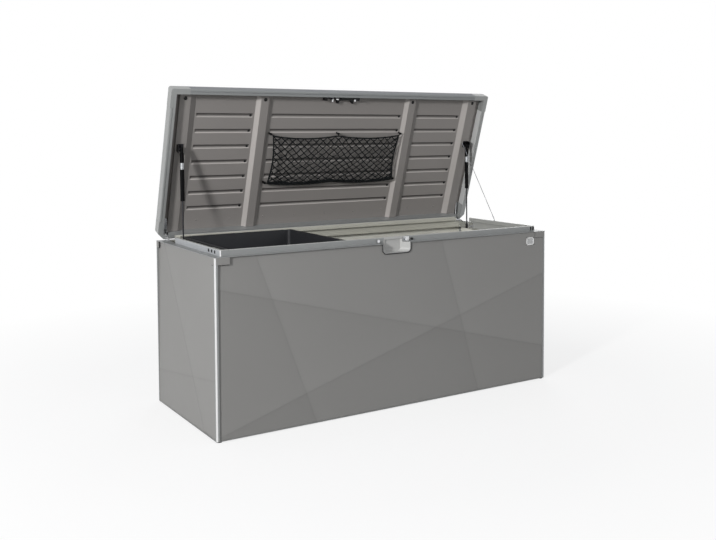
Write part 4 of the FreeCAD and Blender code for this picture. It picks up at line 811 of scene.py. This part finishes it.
# Latch: a black bowed grip on a steel rod, with two steel hooks
latchLook = {
    "rod": (-0.134, 0.120), "rodY": -0.378, "rodZ": 0.905, "rodRadius": 0.004, "rodEnd": 0.0012,
    "grip": (-0.038, 0.070), "gripFront": -0.384, "gripBack": -0.361, "feet": -0.342, "foot": 0.012,
    "bow": 0.018, "bowRise": 0.0099, "plate": (0.899, 0.913), "gripEdge": 0.0018,
    "finger": (-0.026, 0.046), "fingerEnd": 0.879, "fingerThick": 0.010, "fingerEdge": 0.0016,
    "ribs": 5, "rib": 0.0012, "ribProud": 0.0002,
    "hooks": (-0.090, 0.080), "hookPlate": (-0.3762, -0.3734), "hookLow": 0.868, "hookTop": 0.894,
    "bar": (-0.082, 0.072), "barDeep": 0.009, "claw": (-0.009, 0.010), "clawFoot": (-0.008, 0.009),
    "mouth": (0.8728, 0.8812), "mouthX": 0.0004, "steelEdge": 0.0004, "tabPlate": (0.8955, 0.897),
    "tabs": ((-0.072, -0.063, -0.388, -0.352), (-0.046, -0.030, -0.390, -0.364),
             (0.070, 0.081, -0.368, -0.356)),
    "tabRivet": [(0.003, 0), (0.0028, 0.0008), (0.0018, 0.0014)],
}

# Guide blocks of the latch: a cover under the rod between two cheeks, screwed to the rail
guideBlock = {
    "x": (-0.109, 0.095), "half": 0.011, "y": (-0.387, -0.359), "z": (0.8955, 0.914), "cover": 0.0035,
    "gap": (-0.0052, 0.0075),      # beside the middle of the rod
    "cheekInset": 0.0005,
    "screw": [(0.0036, 0), (0.0036, 0.0006), (0.0026, 0.0014), (0.0012, 0.0014), (0.0012, 0.0005)],
}


def makeLatchGrip():
    k = latchLook
    black = bmesh.new()
    left, right = k["grip"]
    innerLeft, innerRight = left + k["foot"], right - k["foot"]
    outline = [(left, k["gripFront"]), (right, k["gripFront"]), (right, k["feet"]),
               (innerRight, k["feet"])]
    for corner, way, turns in ((innerRight, 1, arc(0, 90, 6)), (innerLeft, -1, arc(90, 0, 6))):
        outline += [(corner - way * k["bow"] * (1 - math.cos(turn)),
                     k["gripBack"] + k["bowRise"] * (1 - math.sin(turn))) for turn in turns]
    outline += [(innerLeft, k["feet"]), (left, k["feet"])]
    addPlate(black, outline, *k["plate"], edge=k["gripEdge"], segments=2)

    # the finger plate under the grip, with upright ribs
    low, high = k["finger"]
    front, back = k["gripFront"], k["gripFront"] + k["fingerThick"]
    addPlate(black, roundedBox(low, high, k["fingerEnd"], k["plate"][0] + 0.004, 0.005), front, back,
             axis="y", edge=k["fingerEdge"], segments=2)
    for rib in range(1, k["ribs"] + 1):
        middle = low + (high - low) * rib / (k["ribs"] + 1)
        addTube(black, [(middle, back + k["ribProud"], k["fingerEnd"] + 0.005),
                        (middle, back + k["ribProud"], k["plate"][0] - 0.002)], k["rib"], 6)

    # the rod with its turned-down ends, and the bar that joins the hooks
    start, end = k["rod"]
    radius, slim, size = k["rodRadius"], k["rodRadius"] * 0.8, end - start
    addTurned(black, (start, k["rodY"], k["rodZ"]), (1, 0, 0),
              [(slim, 0), (radius, k["rodEnd"]), (radius, size - k["rodEnd"]), (slim, size)], 16)
    addPlate(black, roundedBox(*k["bar"], k["hookTop"] - k["barDeep"], k["hookTop"], 0.001),
             *k["hookPlate"], axis="y", edge=0.0003)
    makePiece("latchGrip", black, "black_plastic", "latch", stands=("latch_slider",))


def makeLatchClaws():
    k = latchLook
    claws = bmesh.new()
    opening, top = k["mouth"]
    radius, centre = (top - opening) / 2, (top + opening) / 2
    for middle in k["hooks"]:
        low, high = [middle + reach for reach in k["claw"]]
        hook = [(low, k["hookLow"]), (high, k["hookLow"]), (high, k["hookTop"]), (low, k["hookTop"]),
                (low, top)]
        hook += [(middle + k["mouthX"] + radius * math.sin(turn), centre + radius * math.cos(turn))
                 for turn in arc(0, 180, 6)]
        hook.append((low, opening))
        addPlate(claws, hook, *k["hookPlate"], axis="y", edge=k["steelEdge"])
        left, right = [middle + reach for reach in k["clawFoot"]]
        addPlate(claws, roundedBox(left, right, k["rodY"] - 0.001, k["hookPlate"][1], 0.002),
                 k["hookTop"] - 0.003, k["rodZ"] - 0.002, edge=k["steelEdge"])
    makePiece("latchClaws", claws, "dark_steel", "latch", stands=("latch_slider",))


# Flat bright tabs riveted to the grip
def makeLatchTabs():
    k = latchLook
    tabs = bmesh.new()
    for left, right, front, back in k["tabs"]:
        addPlate(tabs, roundedBox(left, right, front, back, 0.002), *k["tabPlate"], edge=k["steelEdge"])
        addTurned(tabs, ((left + right) / 2, front + 0.006, k["tabPlate"][0]), (0, 0, -1),
                  k["tabRivet"], 12)
    makePiece("latchTabs", tabs, "bright_steel", "latch", stands=("latch_slider",))


def makeLatchBlocks():
    k = guideBlock
    blocks = bmesh.new()
    (front, rear), (low, high), inset = k["y"], k["z"], k["cheekInset"]
    gapFront, gapRear = [latchLook["rodY"] + side for side in k["gap"]]
    for middle in k["x"]:
        left, right = middle - k["half"], middle + k["half"]
        addPlate(blocks, roundedBox(left, right, front, rear, 0.003), low, low + k["cover"], edge=0.0012,
                 segments=2)
        for y0, y1 in ((front + inset, gapFront), (gapRear, rear - inset)):
            addPlate(blocks, roundedBox(left + inset, right - inset, y0, y1, 0.001),
                     low + k["cover"] - inset, high, edge=0.0004)
        addTurned(blocks, (middle, rear - 0.0055, low + 0.0002), (0, 0, -1), k["screw"], 16)
    makePiece("latchBlocks", blocks, "black_plastic", "lid", stands=("latch_guides",))


makeLatchGrip()
makeLatchClaws()
makeLatchTabs()
makeLatchBlocks()

# Lid screws: black domed heads on washers, with a cross in each
lidScrew = {
    "x": (-0.913, -0.472, 0.472, 0.913), "y": -0.357, "seat": 0.8987,
    "radius": 0.0078, "rise": 0.0028, "washer": 0.0098, "washerThick": 0.0009,
    "cross": 0.0026, "crossRadius": 0.0006, "crossTurn": 0.4,
}


def makeLidScrews():
    k = lidScrew
    heads = bmesh.new()
    for x in k["x"]:
        place = Vector((x, k["y"], k["seat"]))
        thick = k["washerThick"]
        addTurned(heads, place, (0, 0, -1),
                  [(k["washer"], 0), (k["washer"], thick), (k["radius"] + 0.0002, thick + 0.0002)])
        addTurned(heads, place, (0, 0, -1),
                  [(k["radius"] * math.cos(turn), thick + 0.0001 + k["rise"] * math.sin(turn))
                   for turn in arc(0, 75, 5)])
        for turn in (k["crossTurn"], k["crossTurn"] + math.pi / 2):
            reach = Vector((math.cos(turn), math.sin(turn), 0)) * k["cross"]
            middle = place - Vector((0, 0, thick + k["rise"] - 0.0001))
            addTube(heads, [middle - reach, middle + reach], k["crossRadius"], 4)
    makePiece("lidScrewHeads", heads, "black_plastic", "lid", stands=("lid_screws",))


makeLidScrews()

# Lid sheet: dark plugs at the right ends of the grooves, small rivets near the hinge side
lidMarks = {
    "ends": (-0.5385, 0.406, 0.8295),
    "netY": (-0.17, 0.13),     # no plugs behind the net
    "plug": [(0.0068, 0), (0.0068, 0.0012), (0.0058, 0.002), (0.003, 0.0023)],
    "rivetX": [-0.78, -0.585, -0.39, -0.195, 0.0, 0.195, 0.39, 0.585, 0.78], "rivetY": 0.335,
    "rivet": [(0.005, 0), (0.0046, 0.001), (0.0034, 0.0019), (0.0015, 0.0023)],
    "under": 0.9168,
}


def makeLidMarks():
    k = lidMarks
    plugs = bmesh.new()
    behindLow, behindHigh = k["netY"]
    for x in k["ends"]:
        for row in range(groove["rows"]):
            y = (row - groove["rows"] // 2) * groove["pitch"]
            if abs(x) < netting["right"] and behindLow < y < behindHigh:
                continue
            addTurned(plugs, (x, y + 0.001, k["under"] + 0.0038), (0, 0, -1), k["plug"], 16)
    makePiece("groovePlugs", plugs, "black_rubber", "lid")
    rivets = bmesh.new()
    for x in k["rivetX"]:
        addTurned(rivets, (x, k["rivetY"], k["under"] + 0.0002), (0, 0, -1), k["rivet"], 14)
    makePiece("lidRivets", rivets, "lid_metal", "lid")


makeLidMarks()
print("latch, screws and lid marks made")

# A dark tube in the gap round the grip cup: painted shade of the gap
cupGapShade = {"x": (-0.0948, 0.0788), "top": 0.8625, "low": 0.8112, "corner": 0.022, "y": -0.4066,
           "radius": 0.0027}


def makeCupGapShade():
    k = cupGapShade
    left, right = k["x"]
    points = [(left, k["y"], k["top"])]
    for middle, start in ((left + k["corner"], 180), (right - k["corner"], 270)):
        points += [(middle + k["corner"] * math.cos(turn), k["y"],
                    k["low"] + k["corner"] * (1 + math.sin(turn))) for turn in arc(start, start + 90, 8)]
    points.append((right, k["y"], k["top"]))
    gapShade = bmesh.new()
    addTube(gapShade, points, k["radius"], 10)
    makePiece("cupGapShade", gapShade, "seam_black", "box", smooth=60)


makeCupGapShade()

# Badge: a bare plate with a raised border, on four small pins
badge = {
    "x": (0.8625, 0.9165), "z": (0.790, 0.834), "back": -0.4113,
    "border": 0.006, "borderFront": -0.4134,
    "field": 0.002, "fieldFront": -0.4125,       # how far the field lies inside the plate
    "pinInset": 0.010, "pin": [(0.0012, 0), (0.001, 0.0004), (0.0004, 0.0006)],
}


def makeBadge():
    k = badge
    (left, right), (low, high), wide = k["x"], k["z"], k["border"]
    border = bmesh.new()
    for x0, x1, z0, z1 in ((left, right, low, low + wide), (left, right, high - wide, high),
                           (left, left + wide, low, high), (right - wide, right, low, high)):
        addPlate(border, roundedBox(x0, x1, z0, z1, 0.001), k["borderFront"], k["back"], axis="y",
                 edge=0.0005, segments=2)
    makePiece("badgeBorder", border, "badge_white", "box", stands=("badge_plate",))
    field = bmesh.new()
    inset = k["field"]
    addPlate(field, roundedBox(left + inset, right - inset, low + inset, high - inset, 0.003),
             k["fieldFront"], k["back"], axis="y", edge=0.0002)
    for x in (left + k["pinInset"], right - k["pinInset"]):
        for z in (low + k["pinInset"], high - k["pinInset"]):
            addTurned(field, (x, k["fieldFront"], z), (0, -1, 0), k["pin"], 10)
    makePiece("badgeField", field, "badge_grey", "box", stands=("badge_plate",))


makeBadge()

# Black plates in the rim corners' side slots, painted shade of the slots, and two on the right corner's
# front; black strips in the seams round the corner caps
slotsAndSeams = {
    "slotX": (0.9536, 0.9564), "slotY": [-0.3051 + 0.039 * step for step in range(3)],
    "slotWide": 0.015, "slotZ": (0.871, 0.886),
    "endX": ((0.9235, 0.9325), (0.9395, 0.9535)), "endY": (-0.3714, -0.369), "endZ": (0.868, 0.889),
    "edge": 0.0003,
    "capEnd": (0.925, 0.375), "capZ": (0.8296, 0.8636),     # on the long and on the short side
    "face": (0.9985, 0.4117), "back": (0.994, 0.409), "line": 0.002,
}


def makeSlotShades():
    k = slotsAndSeams
    black = bmesh.new()
    for side in (-1, 1):
        for y in k["slotY"]:
            addPlate(black, roundedBox(y - k["slotWide"] / 2, y + k["slotWide"] / 2, *k["slotZ"], 0.002),
                     *sorted(side * x for x in k["slotX"]), axis="x", edge=k["edge"])
    for left, right in k["endX"]:
        addPlate(black, roundedBox(left, right, *k["endZ"], 0.001), *k["endY"], axis="y", edge=k["edge"])
    makePiece("slotShades", black, "black_rubber", "box")


# Under and beside each cap, first on the long side, then on the short one
def makeCapSeams():
    k = slotsAndSeams
    seams = bmesh.new()
    low, high = k["capZ"]
    for axis, along, across in (("y", 0, 1), ("x", 1, 0)):
        inner, outer = k["capEnd"][along], k["face"][along]
        strips = [(inner, outer, low - k["line"], low), (inner - k["line"], inner, low - k["line"], high)]
        for end in (-1, 1):
            for side in (-1, 1):
                # the right ends of the long sides have no seam beside the cap
                for start, stop, bottom, top in strips[:1 if end > 0 and along == 0 else 2]:
                    start, stop = sorted((end * start, end * stop))
                    addPlate(seams, [(start, bottom), (stop, bottom), (stop, top), (start, top)],
                             *sorted((side * k["face"][across], side * k["back"][across])), axis=axis)
    makePiece("capSeams", seams, "seam_black", "box")


makeSlotShades()
makeCapSeams()

# Stay cable: seven wires laid round each other, with a pressed sleeve at each end
stay = {
    "low": (0.948, -0.005, 0.9005), "high": (0.893, 0.2523, 1.3612),
    "radius": 0.0018, "lay": 0.02, "outer": 6, "stepsPerTurn": 9,
    "sleeve": [(0.0016, 0.006), (0.0024, 0.008), (0.0024, 0.022), (0.0016, 0.024)],
    "folded": 0.8938, "keep": 0.004,
}


def makeStay():
    k = stay
    low, high = Vector(k["low"]), Vector(k["high"])
    along = (high - low).normalized()
    side = along.orthogonal().normalized()
    other = along.cross(side)
    turns = (high - low).length / k["lay"]
    wires = bmesh.new()
    wire = k["radius"] / 3
    addTube(wires, [low, high], wire * 1.1, 6)
    steps = int(turns * k["stepsPerTurn"])
    for start in range(k["outer"]):
        points = []
        for step in range(steps + 1):
            turn = 2 * math.pi * (turns * step / steps + start / k["outer"])
            points.append(low.lerp(high, step / steps)
                          + (side * math.cos(turn) + other * math.sin(turn)) * (2 * wire))
        addTube(wires, points, wire, 4)
    for end, way in ((low, along), (high, -along)):
        addTurned(wires, end, way, k["sleeve"], 12)
    piece = makePiece("stayWires", wires, "cable_steel", "box", stands=("stay_cable",))
    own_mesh(piece)


makeStay()
print("seal, badge, inlays and stay made")

# Stage: a pale floor that goes over into white, a white world, a soft lamp from the left front, and weak
# ones from the front and the back
studio = {
    "floor": 16.0,
    "floorColour": (0.3, 0.3, 0.3), "floorVary": 0.99,
    "floorGlow": 0.72,
    "whiteFrom": 1.6,      # metres from the middle where the floor starts to go white
    "whiteAt": 3.4,
    "sky": (0.97, 0.98, 1.0),
    "ambient": 0.375,
    "skyLift": 0.3,        # how much more comes from above than from the side
    "lamps": [
        # name, place, target, size, power
        ("lampKey", (-7.4, -4.2, 3.1), (0, 0, 0.6), 0.9, 455),
        ("lampFill", (1.0, -8.5, 2.4), (0, 0, 0.7), 3.0, 45),
        ("lampBack", (5.5, 7.5, 3.6), (0, 0, 0.6), 4.0, 110),
    ],
}
pureWhite = (1, 1, 1)


def seenStraight(kit):
    seen = [kit.add("ShaderNodeLightPath", give=f"Is {kind} Ray")
            for kind in ("Camera", "Glossy", "Transmission")]
    return (seen[0] + seen[1] + seen[2]).clamp()


def makeFloor():
    sheet = bmesh.new()
    bmesh.ops.create_grid(sheet, x_segments=4, y_segments=4, size=studio["floor"])
    mesh = bpy.data.meshes.new("floor")
    sheet.to_mesh(mesh)
    sheet.free()
    floor = bpy.data.objects.new("floor", mesh)
    bpy.context.scene.collection.objects.link(floor)
    finish = Finish("paleFloor", Roughness=0.9, Specular_IOR_Level=0.1)
    colour = studio["floorColour"]
    finish.set("Base Color", finish.mix(finish.noise(2, 2), shade(colour, studio["floorVary"]), colour))
    glow = finish.add("ShaderNodeEmission", sockets={
        "Color": pureWhite, "Strength": studio["floorGlow"] * seenStraight(finish)})
    near = finish.add("ShaderNodeAddShader", sockets={0: Wire(finish, finish.shader.outputs[0]), 1: glow})
    white = finish.add("ShaderNodeEmission", sockets={"Color": pureWhite, "Strength": 1.0})
    x, y, _ = finish.parts()
    far = ((x * x + y * y) ** 0.5 - studio["whiteFrom"]) / (studio["whiteAt"] - studio["whiteFrom"])
    both = finish.add("ShaderNodeMixShader", sockets={
        0: far.clamp() * seenStraight(finish), 1: near, 2: white})
    finish.plug(finish.output.inputs["Surface"], both)
    mesh.materials.append(finish.material)


def makeWorld():
    world = bpy.data.worlds.new("studioWorld")
    bpy.context.scene.world = world
    sky = NodeKit(world)
    up = sky.split(sky.add("ShaderNodeTexCoord", give="Generated"))[2].clamp(-0.5, 1)
    plain = sky.add("ShaderNodeBackground", sockets={
        "Color": studio["sky"], "Strength": studio["ambient"] * (1 + up * studio["skyLift"])})
    white = sky.add("ShaderNodeBackground", sockets={"Color": pureWhite, "Strength": 1.0})
    chosen = sky.add("ShaderNodeMixShader", sockets={0: seenStraight(sky), 1: plain, 2: white})
    sky.plug(sky.tree.nodes.new("ShaderNodeOutputWorld").inputs["Surface"], chosen)


def makeLamps():
    for name, place, target, size, power in studio["lamps"]:
        lamp = bpy.data.lights.new(name, "AREA")
        lamp.shape = "DISK"
        lamp.size = size
        lamp.energy = power
        holder = bpy.data.objects.new(name, lamp)
        holder.location = place
        holder.rotation_euler = (Vector(target) - Vector(place)).to_track_quat("-Z", "Y").to_euler()
        bpy.context.scene.collection.objects.link(holder)


makeFloor()
makeWorld()
makeLamps()
print("studio made")
